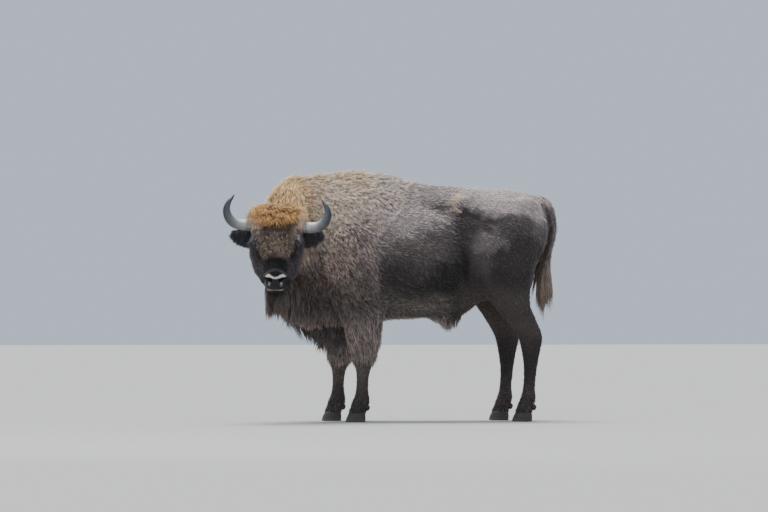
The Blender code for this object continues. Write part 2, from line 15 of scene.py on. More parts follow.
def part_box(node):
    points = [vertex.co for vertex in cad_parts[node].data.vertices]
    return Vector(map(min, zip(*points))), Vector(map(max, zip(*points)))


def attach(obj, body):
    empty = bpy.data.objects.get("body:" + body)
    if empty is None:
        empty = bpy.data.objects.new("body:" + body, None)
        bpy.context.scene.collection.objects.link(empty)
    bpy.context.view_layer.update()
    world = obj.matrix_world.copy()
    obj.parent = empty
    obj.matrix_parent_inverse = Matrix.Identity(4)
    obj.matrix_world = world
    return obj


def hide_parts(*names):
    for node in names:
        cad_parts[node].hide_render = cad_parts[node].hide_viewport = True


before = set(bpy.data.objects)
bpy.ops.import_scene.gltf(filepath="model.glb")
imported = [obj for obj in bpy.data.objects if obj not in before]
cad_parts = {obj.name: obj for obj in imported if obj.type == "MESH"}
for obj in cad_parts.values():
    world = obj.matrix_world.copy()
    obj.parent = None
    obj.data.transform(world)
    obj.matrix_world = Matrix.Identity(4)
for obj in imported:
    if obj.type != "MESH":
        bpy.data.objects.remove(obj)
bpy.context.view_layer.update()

# ---------------------------------------------------------------- frames and driving sizes

HIND_FOOT = (0.545, 0.180)  # the middle of the left hind foot, from the bull's own origin
CLAW_LEAD = -0.010  # a claw's middle from the middle of its foot
FORE_FOOT = (-0.592, 0.170)
FORE_STRIDE = -0.12
HIND_STRIDE = -0.10
HEAD_AT = Vector((-1.175, -0.50, 1.32))
HEAD_TURN = math.radians(82.0)
HEAD_DROP = math.radians(58.0)
HEAD_ROLL = math.radians(-0.6)
HORN_ROLL = math.radians(-2.5)  # the horns sit a little askew on the head
EYE_AT = np.array((0.147, 0.131, 0.018))
EYE_RADIUS = 0.0215
SKIN_VOXEL = 0.0068
SKIN_FACES = 186000  # triangles left in the skin
SKIN_SEED = 600
COAT_SEED = 700


def middle_of(node):
    """The middle of a node's box."""
    low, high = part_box(node)
    return (low + high) / 2


def own_origin():
    """Where the bull's own origin is in the frame, read back from the left hind hoof."""
    inner, outer = middle_of("left_hind_inner_claw"), middle_of("left_hind_outer_claw")
    return np.array((outer.x - HIND_FOOT[0] - CLAW_LEAD, (inner.y + outer.y) / 2 + HIND_FOOT[1], 0.0))


ORIGIN = own_origin()
FACING = Matrix.Translation(HEAD_AT) @ Matrix.Rotation(math.pi + HEAD_TURN, 4, "Z")
LEVEL = np.array(FACING @ Matrix.Rotation(HEAD_ROLL, 4, "X"))
HORN_FRAME = np.array(FACING @ Matrix.Rotation(HORN_ROLL, 4, "X"))
SKULL = LEVEL @ np.array(Matrix.Rotation(HEAD_DROP, 4, "Y"))
UPRIGHT = np.array(((0, 0, 1, 0), (0, 1, 0, 0), (1, 0, 0, 0), (0, 0, 0, 1)), float)
PLAIN = np.eye(4)


def placed(points, matrix):
    """The points carried from a local frame into the bull's."""
    return points @ matrix[:3, :3].T + matrix[:3, 3]


def carried(rings, matrix):
    """Rings of points carried from a local frame into the bull's."""
    return placed(rings.reshape(-1, 3), matrix).reshape(rings.shape)


def seen_from(points, matrix):
    """The points as read in a local frame."""
    return (points - matrix[:3, 3]) @ matrix[:3, :3]


# ---------------------------------------------------------------- sections
# x, y, heading, top, widest level, bottom, half width, squareness above and below.

TRUNK = [
    (0.750, 0, 0, 1.37, 1.31, 1.26, 0.03, 2, 2),
    (0.733, 0, 0, 1.43, 1.29, 1.20, 0.08, 2, 2),
    (0.703, 0, 0, 1.49, 1.28, 1.13, 0.13, 2, 2),
    (0.64, 0, 0, 1.547, 1.27, 1.00, 0.18, 2, 2),
    (0.52, 0, 0, 1.567, 1.26, 0.89, 0.225, 2.2, 2),
    (0.36, 0, 0, 1.579, 1.25, 0.83, 0.250, 2.2, 2),
    (0.20, 0, 0, 1.585, 1.20, 0.775, 0.268, 2.2, 2),
    (0.06, 0, 0, 1.596, 1.13, 0.720, 0.285, 2.1, 2.1),
    (-0.10, 0, 0, 1.602, 1.09, 0.697, 0.300, 2.0, 2.1),
    (-0.22, 0, 0, 1.630, 1.08, 0.692, 0.305, 1.9, 2.1),
    (-0.32, 0, 0, 1.672, 1.09, 0.690, 0.303, 1.85, 2.1),
    (-0.46, 0, 0, 1.700, 1.11, 0.680, 0.295, 1.8, 2),
    (-0.62, 0, 0, 1.705, 1.12, 0.660, 0.282, 1.75, 2),
    (-0.78, 0, 0, 1.690, 1.13, 0.640, 0.262, 1.8, 1.9),
    (-0.92, -0.03, 10, 1.675, 1.15, 0.650, 0.240, 1.9, 1.8),
    (-1.02, -0.10, 30, 1.664, 1.18, 0.720, 0.212, 2.0, 1.8),
    (-1.080, -0.20, 50, 1.628, 1.23, 0.840, 0.184, 2.1, 1.9),
    (-1.120, -0.30, 65, 1.560, 1.26, 0.930, 0.172, 2, 2),
    (-1.125, -0.40, 75, 1.444, 1.25, 1.040, 0.138, 2, 2),
]

# The flesh that carries the mane under the throat and brisket.
DEWLAP = [
    (-1.14, -0.42, 75, 1.05, 1.00, 0.93, 0.045, 2, 1.6),
    (-1.10, -0.31, 60, 1.10, 0.95, 0.80, 0.060, 2, 1.6),
    (-1.02, -0.17, 38, 1.10, 0.90, 0.72, 0.075, 2, 1.6),
    (-0.94, -0.07, 18, 1.10, 0.85, 0.65, 0.085, 2, 1.6),
    (-0.84, -0.02, 5, 1.00, 0.80, 0.60, 0.090, 2, 1.6),
    (-0.75, 0, 0, 1.00, 0.78, 0.585, 0.085, 2, 1.6),
    (-0.65, 0, 0, 0.95, 0.77, 0.61, 0.070, 2, 1.7),
    (-0.53, 0, 0, 0.90, 0.77, 0.66, 0.055, 2, 1.8),
    (-0.42, 0, 0, 0.85, 0.77, 0.70, 0.040, 2, 2),
]

SHEATH = [
    (-0.035, 0, 0, 0.80, 0.75, 0.725, 0.014, 2, 2),
    (-0.01, 0, 0, 0.80, 0.745, 0.695, 0.024, 2, 1.7),
    (0.035, 0, 0, 0.80, 0.74, 0.655, 0.027, 2, 1.6),
    (0.075, 0, 0, 0.81, 0.74, 0.660, 0.028, 2, 1.7),
    (0.13, 0, 0, 0.85, 0.78, 0.690, 0.034, 2, 2),
    (0.21, 0, 0, 0.90, 0.83, 0.750, 0.040, 2, 2),
    (0.29, 0, 0, 0.95, 0.88, 0.808, 0.040, 2, 2),
]

# The head, in its own frame: x to the muzzle, y to the bull's left, z out of the forehead.
HEAD = [
    (-0.125, 0, 0, 0.03, -0.04, -0.10, 0.05, 2, 2),
    (-0.09, 0, 0, 0.065, -0.04, -0.17, 0.12, 2, 2),
    (-0.03, 0, 0, 0.088, -0.03, -0.21, 0.158, 2.2, 2),
    (0.05, 0, 0, 0.090, -0.04, -0.235, 0.172, 2.3, 2),
    (0.12, 0, 0, 0.083, -0.07, -0.245, 0.175, 2.2, 2.3),
    (0.19, 0, 0, 0.075, -0.10, -0.232, 0.168, 1.9, 2.4),
    (0.26, 0, 0, 0.066, -0.10, -0.196, 0.150, 1.8, 2.3),
    (0.33, 0, 0, 0.054, -0.090, -0.168, 0.132, 1.8, 2.3),
    (0.385, 0, 0, 0.044, -0.078, -0.148, 0.101, 2.0, 2.3),
    (0.43, 0, 0, 0.034, -0.05, -0.130, 0.077, 2.5, 2.4),
    (0.462, 0, 0, 0.014, -0.05, -0.118, 0.066, 2.5, 2.4),
    (0.478, 0, 0, -0.015, -0.05, -0.090, 0.045, 2.2, 2.2),
]

# The pad of skin and wool under the curls between the horns, in the head's frame.
CROWN = [
    (-0.115, 0, 0, 0.045, 0.01, -0.05, 0.060, 2, 2),
    (-0.100, 0, 0, 0.080, 0.02, -0.08, 0.130, 2.4, 2),
    (-0.070, 0, 0, 0.102, 0.02, -0.10, 0.166, 2.6, 2),
    (-0.030, 0, 0, 0.112, 0.02, -0.10, 0.178, 2.6, 2),
    (0.010, 0, 0, 0.112, 0.01, -0.10, 0.172, 2.4, 2),
    (0.050, 0, 0, 0.100, 0.00, -0.10, 0.155, 2.2, 2),
    (0.090, 0, 0, 0.082, 0.00, -0.08, 0.130, 2, 2),
    (0.130, 0, 0, 0.060, 0.00, -0.05, 0.090, 2, 2),
]

# The flesh of the chin under the beard. Upright rows give height, y, heading, then rear, widest
# place, front and half width.
CHIN = [
    (1.150, -0.40, 0, -1.10, -1.180, -1.26, 0.040, 2, 2),
    (1.100, -0.43, 0, -1.080, -1.183, -1.280, 0.050, 2.2, 2.2),
    (1.035, -0.47, 0, -1.090, -1.186, -1.280, 0.055, 2.2, 2.2),
    (0.970, -0.51, 0, -1.105, -1.188, -1.262, 0.054, 2.2, 2.2),
    (0.910, -0.54, 0, -1.125, -1.188, -1.245, 0.046, 2.2, 2.2),
    (0.880, -0.55, 0, -1.150, -1.188, -1.225, 0.024, 2.2, 2.2),
]

BEARD_REACH = [
    (1.150, -0.40, 0, -1.08, -1.180, -1.28, 0.05, 2, 2),
    (1.035, -0.47, 0, -1.030, -1.186, -1.342, 0.070, 2.2, 2.2),
    (0.900, -0.55, 0, -1.087, -1.186, -1.292, 0.070, 2.2, 2.2),
    (0.730, -0.575, 0, -1.160, -1.182, -1.210, 0.040, 2, 2),
]

FORELEG = [
    (1.50, 0.10, 0, -0.52, -0.61, -0.70, 0.07, 2, 2),
    (1.40, 0.12, 0, -0.47, -0.62, -0.76, 0.11, 2.2, 2.2),
    (1.27, 0.15, 0, -0.43, -0.63, -0.83, 0.135, 2.3, 2.3),
    (1.12, 0.17, 0, -0.40, -0.63, -0.885, 0.142, 2.3, 2.2),
    (0.99, 0.18, 0, -0.385, -0.61, -0.88, 0.140, 2.3, 2.2),
    (0.88, 0.187, 0, -0.375, -0.585, -0.82, 0.130, 2.3, 2.2),
    (0.78, 0.19, 0, -0.385, -0.57, -0.75, 0.115, 2.2, 2.2),
    (0.68, 0.187, 0, -0.412, -0.56, -0.70, 0.100, 2.2, 2.2),
    (0.59, 0.182, 0, -0.425, -0.555, -0.672, 0.086, 2.1, 2.2),
    (0.51, 0.177, 0, -0.437, -0.555, -0.650, 0.072, 2.1, 2.2),
    (0.44, 0.174, 0, -0.460, -0.555, -0.632, 0.064, 2.2, 2.3),
    (0.38, 0.172, 0, -0.485, -0.555, -0.612, 0.053, 2.2, 2.2),
    (0.29, 0.170, 0, -0.508, -0.555, -0.602, 0.045, 2.1, 2.1),
    (0.20, 0.170, 0, -0.508, -0.558, -0.608, 0.046, 2.1, 2.1),
    (0.15, 0.170, 0, -0.500, -0.565, -0.625, 0.054, 2.2, 2.2),
    (0.105, 0.170, 0, -0.520, -0.580, -0.637, 0.050, 2.2, 2.2),
    (0.070, 0.170, 0, -0.530, -0.592, -0.652, 0.055, 2.3, 2.3),
    (0.052, 0.170, 0, -0.540, -0.595, -0.648, 0.048, 2.3, 2.3),
]

HINDLEG = [
    (1.51, 0.10, 0, 0.61, 0.42, 0.24, 0.08, 2, 2),
    (1.43, 0.11, 0, 0.675, 0.42, 0.17, 0.125, 2.2, 2.3),
    (1.31, 0.125, 0, 0.725, 0.43, 0.145, 0.150, 2.3, 2.3),
    (1.18, 0.135, 0, 0.698, 0.44, 0.140, 0.155, 2.3, 2.3),
    (1.06, 0.145, 0, 0.645, 0.44, 0.155, 0.148, 2.2, 2.2),
    (0.96, 0.155, 0, 0.620, 0.44, 0.195, 0.132, 2.2, 2.2),
    (0.86, 0.165, 0, 0.603, 0.45, 0.265, 0.112, 2.1, 2.1),
    (0.77, 0.173, 0, 0.611, 0.49, 0.345, 0.092, 2, 2.1),
    (0.69, 0.180, 0, 0.640, 0.53, 0.415, 0.076, 2, 2.1),
    (0.62, 0.184, 0, 0.668, 0.57, 0.470, 0.066, 2, 2.1),
    (0.56, 0.186, 0, 0.680, 0.59, 0.505, 0.060, 2, 2.2),
    (0.49, 0.186, 0, 0.668, 0.593, 0.522, 0.055, 2, 2.2),
    (0.42, 0.184, 0, 0.654, 0.593, 0.533, 0.047, 2, 2.1),
    (0.33, 0.182, 0, 0.640, 0.590, 0.540, 0.042, 2, 2),
    (0.22, 0.181, 0, 0.630, 0.580, 0.532, 0.044, 2, 2),
    (0.16, 0.180, 0, 0.636, 0.575, 0.518, 0.053, 2.2, 2.2),
    (0.11, 0.180, 0, 0.612, 0.558, 0.503, 0.049, 2.2, 2.2),
    (0.070, 0.180, 0, 0.606, 0.545, 0.484, 0.054, 2.3, 2.3),
    (0.052, 0.180, 0, 0.598, 0.542, 0.486, 0.048, 2.3, 2.3),
]

TAIL = [
    (1.545, 0, 0, 0.665, 0.63, 0.595, 0.020, 2, 2),
    (1.525, 0, 0, 0.715, 0.65, 0.600, 0.036, 2, 2),
    (1.480, 0, 0, 0.765, 0.705, 0.650, 0.038, 2, 2),
    (1.400, 0, 0, 0.800, 0.762, 0.715, 0.035, 2, 2),
    (1.320, 0, 0, 0.808, 0.772, 0.733, 0.034, 2, 2),
    (1.236, 0, 0, 0.797, 0.760, 0.722, 0.034, 2, 2),
    (1.160, 0, 0, 0.775, 0.740, 0.704, 0.034, 2, 2),
    (1.063, 0, 0, 0.762, 0.722, 0.680, 0.040, 2, 2),
    (0.976, 0, 0, 0.776, 0.716, 0.656, 0.055, 2, 2),
    (0.900, 0, 0, 0.774, 0.706, 0.639, 0.060, 2, 2),
    (0.824, 0, 0, 0.748, 0.692, 0.634, 0.052, 2, 2),
    (0.785, 0, 0, 0.730, 0.688, 0.644, 0.040, 2, 2),
    (0.735, 0, 0, 0.705, 0.690, 0.675, 0.012, 2, 2),
]
DOCK_END = 0.92  # the tail's flesh stops here, and its tuft hangs on

# An ear's blade from root to tip in the level head frame, on the bull's left.
EAR = [
    (-0.070, 0.120, 90, -0.044, -0.090, -0.130, 0.018, 2, 2),
    (-0.070, 0.160, 90, -0.032, -0.090, -0.138, 0.017, 2, 2),
    (-0.068, 0.205, 90, -0.028, -0.088, -0.142, 0.014, 2, 2),
    (-0.062, 0.250, 90, -0.028, -0.076, -0.126, 0.011, 2, 2),
    (-0.054, 0.285, 90, -0.034, -0.064, -0.098, 0.009, 2, 2),
    (-0.048, 0.304, 90, -0.048, -0.061, -0.078, 0.005, 2, 2),
]

# A horn on the bull's left in the level head frame: x, y, z and radius.
HORN = [
    (-0.030, 0.120, -0.004, 0.0370),
    (-0.015, 0.170, -0.006, 0.0365),
    (0.008, 0.230, -0.009, 0.0345),
    (0.032, 0.288, 0.005, 0.0318),
    (0.046, 0.324, 0.042, 0.0275),
    (0.044, 0.337, 0.090, 0.0220),
    (0.030, 0.326, 0.136, 0.0155),
    (0.014, 0.306, 0.168, 0.0095),
    (0.004, 0.292, 0.190, 0.0035),
]

CLAW = [
    (0.000, 0.031, 0, 0.050, -0.010, -0.074, 0.0255, 2.6, 2.0),
    (0.012, 0.031, 0, 0.053, -0.010, -0.073, 0.0280, 2.6, 2.0),
    (0.036, 0.030, 0, 0.054, -0.008, -0.064, 0.0280, 2.4, 2.0),
    (0.0616, 0.028, 0, 0.050, -0.004, -0.050, 0.0265, 2.2, 2.0),
]
DEWCLAW_AT = (0.068, 0.024, 0.096)
DEWCLAW_RADII = (0.017, 0.013, 0.021)


# ---------------------------------------------------------------- arrays and shapes


def ramp(value, start, end):
    """A smooth rise from 0 at start to 1 at end, or a fall where start is the larger."""
    t = np.clip((value - start) / (end - start), 0, 1)
    return t * t * (3 - 2 * t)


def unit(vectors):
    """The vectors scaled to a length of 1."""
    return vectors / np.maximum(np.linalg.norm(vectors, axis=-1, keepdims=True), 1e-12)


def eased(rows, count):
    """Rows read off a Catmull-Rom curve through the given ones, count steps to each span."""
    rows = np.asarray(rows, float)
    padded = np.vstack([2 * rows[0] - rows[1], rows, 2 * rows[-1] - rows[-2]])
    a, b, c, d = (padded[k : len(rows) - 1 + k, None, :] for k in range(4))
    t = (np.arange(count) / count)[None, :, None]
    curve = b + 0.5 * t * (c - a + t * (2 * a - 5 * b + 4 * c - d + t * (3 * (b - c) + d - a)))
    return np.vstack([curve.reshape(-1, rows.shape[1]), rows[-1]])


def rounded(rows, around):
    """Rings of points: at each angle, cosine and sine to the power 2 / squareness, times the widths."""
    x, y, heading, top, wide, bottom, half, power_up, power_down = (c[:, None] for c in rows.T)
    angle = np.linspace(0, 2 * math.pi, around, endpoint=False)[None, :]
    across, rise = np.cos(angle), np.sin(angle)
    power = 2 / np.where(rise > 0, power_up, power_down)
    side = half * np.sign(across) * np.abs(across) ** power
    reach = np.where(rise > 0, top - wide, wide - bottom)
    height = wide + reach * np.sign(rise) * np.abs(rise) ** power
    turn = np.radians(heading)
    return np.stack([x - np.sin(turn) * side, y + np.cos(turn) * side, height], axis=-1)


def closed_tube(rings):
    """Rings of points as one closed surface: quads between rings, and a fan of triangles on each end."""
    count, around = rings.shape[:2]
    points = np.vstack([rings.reshape(-1, 3), rings[0].mean(0), rings[-1].mean(0)])
    i, j = np.meshgrid(np.arange(count - 1), np.arange(around), indexing="ij")
    here, there = i * around + j, i * around + (j + 1) % around
    quads = np.stack([here, there, there + around, here + around], axis=-1).reshape(-1, 4)
    j = np.arange(around)
    after = (j + 1) % around
    last = (count - 1) * around
    start = np.stack([after, j, np.full(around, count * around)], axis=-1)
    end = np.stack([last + j, last + after, np.full(around, count * around + 1)], axis=-1)
    halves = np.vstack([quads[:, [0, 1, 2]], quads[:, [0, 2, 3]], start, end])
    return points, facing_out(points, halves)


def sphere_angles(margin, rings, around):
    """Angles from the pole, short of each pole by the margin, and angles round it, on a grid."""
    down = np.linspace(margin, math.pi - margin, rings)
    return np.meshgrid(down, np.arange(around) * math.pi / (around // 2), indexing="ij")


def facing_out(points, triangles):
    """The triangles, all turned round if the volume that they close comes out negative."""
    a, b, c = (points[triangles[:, k]] for k in range(3))
    return triangles if np.einsum("ij,ij->", a, np.cross(b, c)) > 0 else triangles[:, ::-1]


def loft(rows, matrix=PLAIN, around=40, steps=5):
    """A closed mass through rounded sections, in the bull's frame."""
    return closed_tube(carried(rounded(eased(rows, steps), around), matrix))


def joined(shapes):
    """Several (points, triangles) as one."""
    starts = np.cumsum([0] + [len(points) for points, _ in shapes[:-1]])
    triangles = np.vstack([faces + start for (_, faces), start in zip(shapes, starts)])
    return np.vstack([points for points, _ in shapes]), triangles


def built(name, points, faces, look=None):
    """A smooth-shaded mesh object from arrays in the bull's frame. All faces have as many corners."""
    mesh = bpy.data.meshes.new(name)
    mesh.vertices.add(len(points))
    mesh.vertices.foreach_set("co", (points + ORIGIN).astype(np.float32).ravel())
    mesh.loops.add(faces.size)
    mesh.loops.foreach_set("vertex_index", faces.astype(np.int32).ravel())
    mesh.polygons.add(len(faces))
    mesh.polygons.foreach_set("loop_start", np.arange(0, faces.size, faces.shape[1], dtype=np.int32))
    mesh.update(calc_edges=True)
    mesh.shade_smooth()
    if look:
        mesh.materials.append(look)
    made = bpy.data.objects.new(name, mesh)
    bpy.context.scene.collection.objects.link(made)
    return made


def arrays_of(mesh):
    """A mesh's points in the bull's frame and its faces as triangles."""
    points = np.empty(len(mesh.vertices) * 3, np.float32)
    mesh.vertices.foreach_get("co", points)
    mesh.calc_loop_triangles()
    triangles = np.empty(len(mesh.loop_triangles) * 3, np.int32)
    mesh.loop_triangles.foreach_get("vertices", triangles)
    return points.reshape(-1, 3).astype(float) - ORIGIN, triangles.reshape(-1, 3)


def normals_of(points, triangles):
    """Each point's outward direction: the sum of its triangles' area vectors."""
    a, b, c = (points[triangles[:, k]] for k in range(3))
    area = np.cross(b - a, c - a)
    total = np.stack(
        [np.bincount(triangles.ravel(), np.repeat(area[:, k], 3), len(points)) for k in range(3)], axis=1
    )
    return unit(total)


def relaxed(points, edges, passes, share=0.5):
    """Each point moves by share towards the mean of its neighbours, passes times."""
    points = points.copy()
    from_end = np.concatenate([edges[:, 0], edges[:, 1]])
    to_end = np.concatenate([edges[:, 1], edges[:, 0]])
    count = np.maximum(np.bincount(from_end, minlength=len(points)), 1)
    for _ in range(passes):
        for k in range(3):
            mean = np.bincount(from_end, points[to_end, k], len(points)) / count
            points[:, k] += share * (mean - points[:, k])
    return points


def edges_of(mesh):
    """The two points of each edge of a mesh."""
    edges = np.empty(len(mesh.edges) * 2, np.int32)
    mesh.edges.foreach_get("vertices", edges)
    return edges.reshape(-1, 2)


def ripple(points, size, seed, octaves=2):
    """Smooth noise of about -1 to 1: sines along random directions, each octave half as long and strong."""
    rng = np.random.default_rng(seed)
    total = np.zeros(len(points))
    for octave in range(octaves):
        waves = unit(rng.normal(size=(7, 3))) * (2 * math.pi / size * 2**octave)
        waves *= rng.uniform(0.7, 1.3, (7, 1))
        phase = rng.uniform(0, 2 * math.pi, 7)
        total += np.sin(points @ waves.T + phase).sum(1) / math.sqrt(7) * 0.5**octave
    return total / 1.1


def hashed(cells, seed):
    """Three numbers from 0 to 1 for each whole-number cell, by multiplying and shifting its coordinates."""
    mixed_up = (cells * np.array([73856093, 19349663, 83492791])).astype(np.int64)
    key = (mixed_up[:, 0] ^ mixed_up[:, 1] ^ mixed_up[:, 2] ^ (seed * 2654435761)) & 0xFFFFFFFF
    out = []
    for salt in (0x9E3779B1, 0x85EBCA77, 0xC2B2AE3D):
        value = (key * salt) & 0xFFFFFFFF
        value ^= value >> 15
        value = (value * 0x2C1B3C6D) & 0xFFFFFFFF
        value ^= value >> 12
        out.append(value / 0xFFFFFFFF)
    return np.stack(out, axis=1)


def gathered(points, size, flat, seed):
    """The nearest of the scattered points, one to a cell of a grid of that size: its place, and a
    number from 0 to 1 that is its own. Sizes go by steps of a quarter octave, so that neighbours share
    a grid, and the cells are lower than wide where flat is above a half."""
    size = 0.01 * 2 ** (np.round(np.log2(size / 0.01) * 4) / 4)
    plain = np.ones(len(flat))
    size = size[:, None] / np.stack([plain, plain, np.where(flat > 0.5, 1.7, 1.0)], axis=1)
    scaled = points / size
    cell = np.floor(scaled).astype(np.int64)
    best = np.full(len(points), np.inf)
    where = np.zeros_like(points)
    number = np.zeros(len(points))
    for shift in np.ndindex(3, 3, 3):
        other = cell + np.array(shift) - 1
        spot = hashed(other, seed)
        centre = other + spot
        distance = ((scaled - centre) ** 2).sum(1)
        nearer = distance < best
        best[nearer] = distance[nearer]
        where[nearer] = (centre * size)[nearer]
        number[nearer] = (spot[:, 0] * 7.3 + spot[:, 1] * 3.1)[nearer] % 1
    return where, number


def across_loft(rows, points):
    """How far out each point is in a loft that runs along x: 1 on its surface, more outside. Past an
    end, the distance in tenths of a metre is added."""
    rows = eased(rows, 4)
    rows = rows[np.argsort(rows[:, 0])]
    x, side_at, _, top, wide, bottom, half, up, down = rows.T
    here = [np.interp(points[:, 0], x, column) for column in (side_at, top, wide, bottom, half, up, down)]
    side_at, top, wide, bottom, half, up, down = here
    side = np.abs(points[:, 1] - side_at) / half
    rise = points[:, 2] - wide
    rise = np.where(rise > 0, rise / (top - wide), -rise / (wide - bottom))
    power = np.where(points[:, 2] > wide, up, down)
    past = np.abs(points[:, 0] - np.clip(points[:, 0], x[0], x[-1]))
    return (side**power + rise**power) ** (1 / power) + past / 0.1


# ---------------------------------------------------------------- regions of the body


class Region:
    """Where points lie on the bull: their place in the head's frames, and how far each belongs to a
    part of the body, from 0 to 1."""

    def __init__(self, points):
        """Each share is a product of smooth ramps over distance from a loft, height and side."""
        self.points = points
        self.x, self.y, self.z = points.T
        self.skull = seen_from(points, SKULL)
        self.level = seen_from(points, LEVEL)
        hx, hy, hz = self.skull.T
        self.drop = HEAD_AT.z - points[:, 2]  # below the skull's middle
        upright = seen_from(points, UPRIGHT)
        ear = np.stack([np.abs(self.level[:, 1]), self.level[:, 0], self.level[:, 2]], axis=1)
        ear_rows = np.array(EAR)[:, [1, 0, 2, 3, 4, 5, 6, 7, 8]]
        self.ear = 1 - ramp(across_loft(ear_rows, ear), 1.3, 1.9)
        self.ear *= ramp(ear[:, 0], 0.150, 0.172)
        self.head = (1 - ramp(across_loft(HEAD, self.skull), 1.04, 1.22)) * ramp(hx, -0.16, -0.10)
        pad = across_loft(CROWN, self.skull)
        self.crown = (1 - ramp(pad, 1.04, 1.16)) * ramp(hx, 0.048, 0.022) * ramp(hz, -0.055, -0.020)
        self.head = np.maximum(self.head, self.crown)
        chin = 1 - ramp(across_loft(BEARD_REACH, upright), 0.95, 1.15)
        self.beard = chin * ramp(self.z, 1.14, 1.09) * ramp(hx, 0.40, 0.34) * ramp(hz, -0.09, -0.14)
        self.beard *= ramp(np.abs(hy), 0.086, 0.062)
        self.tail = 1 - ramp(across_loft(TAIL, upright), 1.15, 1.5)
        self.tail *= ramp(self.x - 0.12 * (self.z - 1.3), 0.655, 0.68) * ramp(np.abs(self.y), 0.085, 0.065)
        own = (1 - self.head) * (1 - self.ear) * (1 - self.tail)
        edge = -0.468 + 0.243 * ramp(self.z, 1.14, 1.64) + 0.02 * ripple(points, 0.20, 51)
        self.mane = ramp(self.x - edge, 0.055, -0.055) * own
        self.leg = ramp(self.z, 0.80, 0.66) * own * ramp(np.abs(self.y), 0.05, 0.09)
        self.fore = self.leg * (self.x < -0.25)
        self.hind = self.leg * (self.x > 0.15)
        self.throat = self.mane * ramp(self.z, 1.02, 0.80) * (1 - ramp(self.outward(), 0.09, 0.15))
        self.crest = self.mane * ramp(self.z, 1.50, 1.64)
        self.rump = ramp(self.x, 0.02, 0.16) * own
        self.trunk = own * (1 - self.mane) * (1 - self.rump) * (1 - self.leg)
        self.sheath = ramp(self.z, 0.80, 0.72) * ramp(np.abs(self.y), 0.07, 0.04) * own
        self.sheath *= ramp(self.x, -0.10, -0.04) * ramp(self.x, 0.34, 0.26)
        self.belly = self.trunk * ramp(self.z, 0.84, 0.74)

    def outward(self):
        """The distance from the trunk's and neck's upright middle plane. Keeps its heading too."""
        line = eased(np.array(TRUNK)[:, :3], 3)
        gap = np.hypot(self.x[:, None] - line[:, 0], self.y[:, None] - line[:, 1])
        nearest = gap.argmin(1)
        self.heading = np.radians(line[nearest, 2])
        spot = line[nearest]
        return np.abs(
            -np.sin(self.heading) * (self.x - spot[:, 0]) + np.cos(self.heading) * (self.y - spot[:, 1])
        )

    def muzzle(self, start=0.36, end=0.40):
        """A share that rises from 0 to 1 along the head, between start and end."""
        return ramp(self.skull[:, 0], start, end) * self.head


# ---------------------------------------------------------------- the flesh and its relief
# Each fold or swelling: where its middle line starts and ends, its radius, and its height. Both sides
# of the body share them, so y is the distance from the middle plane.

BODY_RELIEF = [
    ((0.100, 0.20, 1.515), (0.165, 0.19, 1.540), 0.058, 0.026),  # point of the hip
    ((0.082, 0.24, 1.490), (0.030, 0.26, 1.400), 0.026, 0.012),  # the ridge that falls from it
    ((-0.120, 0.26, 1.475), (0.018, 0.26, 1.430), 0.080, -0.032),  # hollow of the flank
    ((0.130, 0.27, 1.410), (0.340, 0.26, 1.380), 0.075, -0.022),  # below the hip
    ((-0.220, 0.28, 1.440), (-0.060, 0.29, 1.350), 0.110, 0.010),  # last ribs
    ((0.280, 0.26, 1.215), (0.320, 0.26, 1.225), 0.085, 0.018),  # swelling of the thigh
    ((0.145, 0.27, 1.150), (0.205, 0.23, 0.860), 0.055, -0.026),  # fold before the thigh
    ((0.240, 0.27, 1.130), (0.290, 0.25, 0.920), 0.075, 0.018),
    ((0.400, 0.27, 1.300), (0.420, 0.26, 1.000), 0.055, -0.009),  # along the thigh bone
    ((0.560, 0.16, 1.500), (0.640, 0.12, 1.440), 0.075, 0.014),  # pin bone
    ((0.700, 0.07, 1.440), (0.665, 0.07, 1.150), 0.045, -0.010),  # beside the tail
    ((-0.640, 0.22, 1.500), (-0.740, 0.27, 1.150), 0.150, 0.014),  # shoulder blade
    ((-0.400, 0.27, 1.400), (-0.370, 0.30, 0.960), 0.080, -0.012),  # behind the shoulder
    ((-0.820, 0.20, 1.100), (-0.760, 0.24, 0.920), 0.100, 0.012),  # point of the shoulder
    ((-0.560, 0.30, 0.760), (-0.520, 0.28, 0.620), 0.060, 0.006),  # forearm
    ((0.590, 0.19, 0.800), (0.640, 0.19, 0.640), 0.030, -0.008),  # before the tendon of the hock
]
HEAD_RELIEF = [
    ((0.070, 0.116, 0.084), (0.150, 0.122, 0.062), 0.034, 0.010),  # brow
    ((0.205, 0.130, 0.010), (0.250, 0.116, -0.004), 0.026, -0.011),  # tear groove
    ((0.110, 0.170, -0.034), (0.250, 0.134, -0.044), 0.034, 0.010),  # cheek bone
    ((0.060, 0.170, -0.120), (0.140, 0.160, -0.160), 0.070, 0.008),  # jaw muscle
    ((0.270, 0.100, 0.015), (0.370, 0.078, 0.004), 0.032, -0.008),  # beside the bridge
    ((0.200, 0.000, 0.070), (0.385, 0.000, 0.045), 0.045, 0.006),  # bridge of the nose
    ((0.442, 0.064, 0.018), (0.450, 0.058, -0.004), 0.026, 0.006),  # wing of the nostril
    ((0.462, 0.000, -0.032), (0.458, 0.042, -0.042), 0.022, 0.005),  # upper lip
    ((0.360, 0.078, -0.050), (0.410, 0.072, -0.052), 0.022, 0.004),  # corner of the lips
]
EYE_OUT = unit(np.array((0.16, 0.80, 0.58)))  # the way the eye looks, in the head's frame
EYE_LONG = np.array((1.0, -0.42, -0.12))  # to the inner corner
EYE_LONG = unit(EYE_LONG - EYE_OUT * (EYE_LONG @ EYE_OUT))
EYE_UP = np.cross(EYE_LONG, EYE_OUT) * -1.0
EYE_UP = EYE_UP if EYE_UP[2] > 0 else -EYE_UP
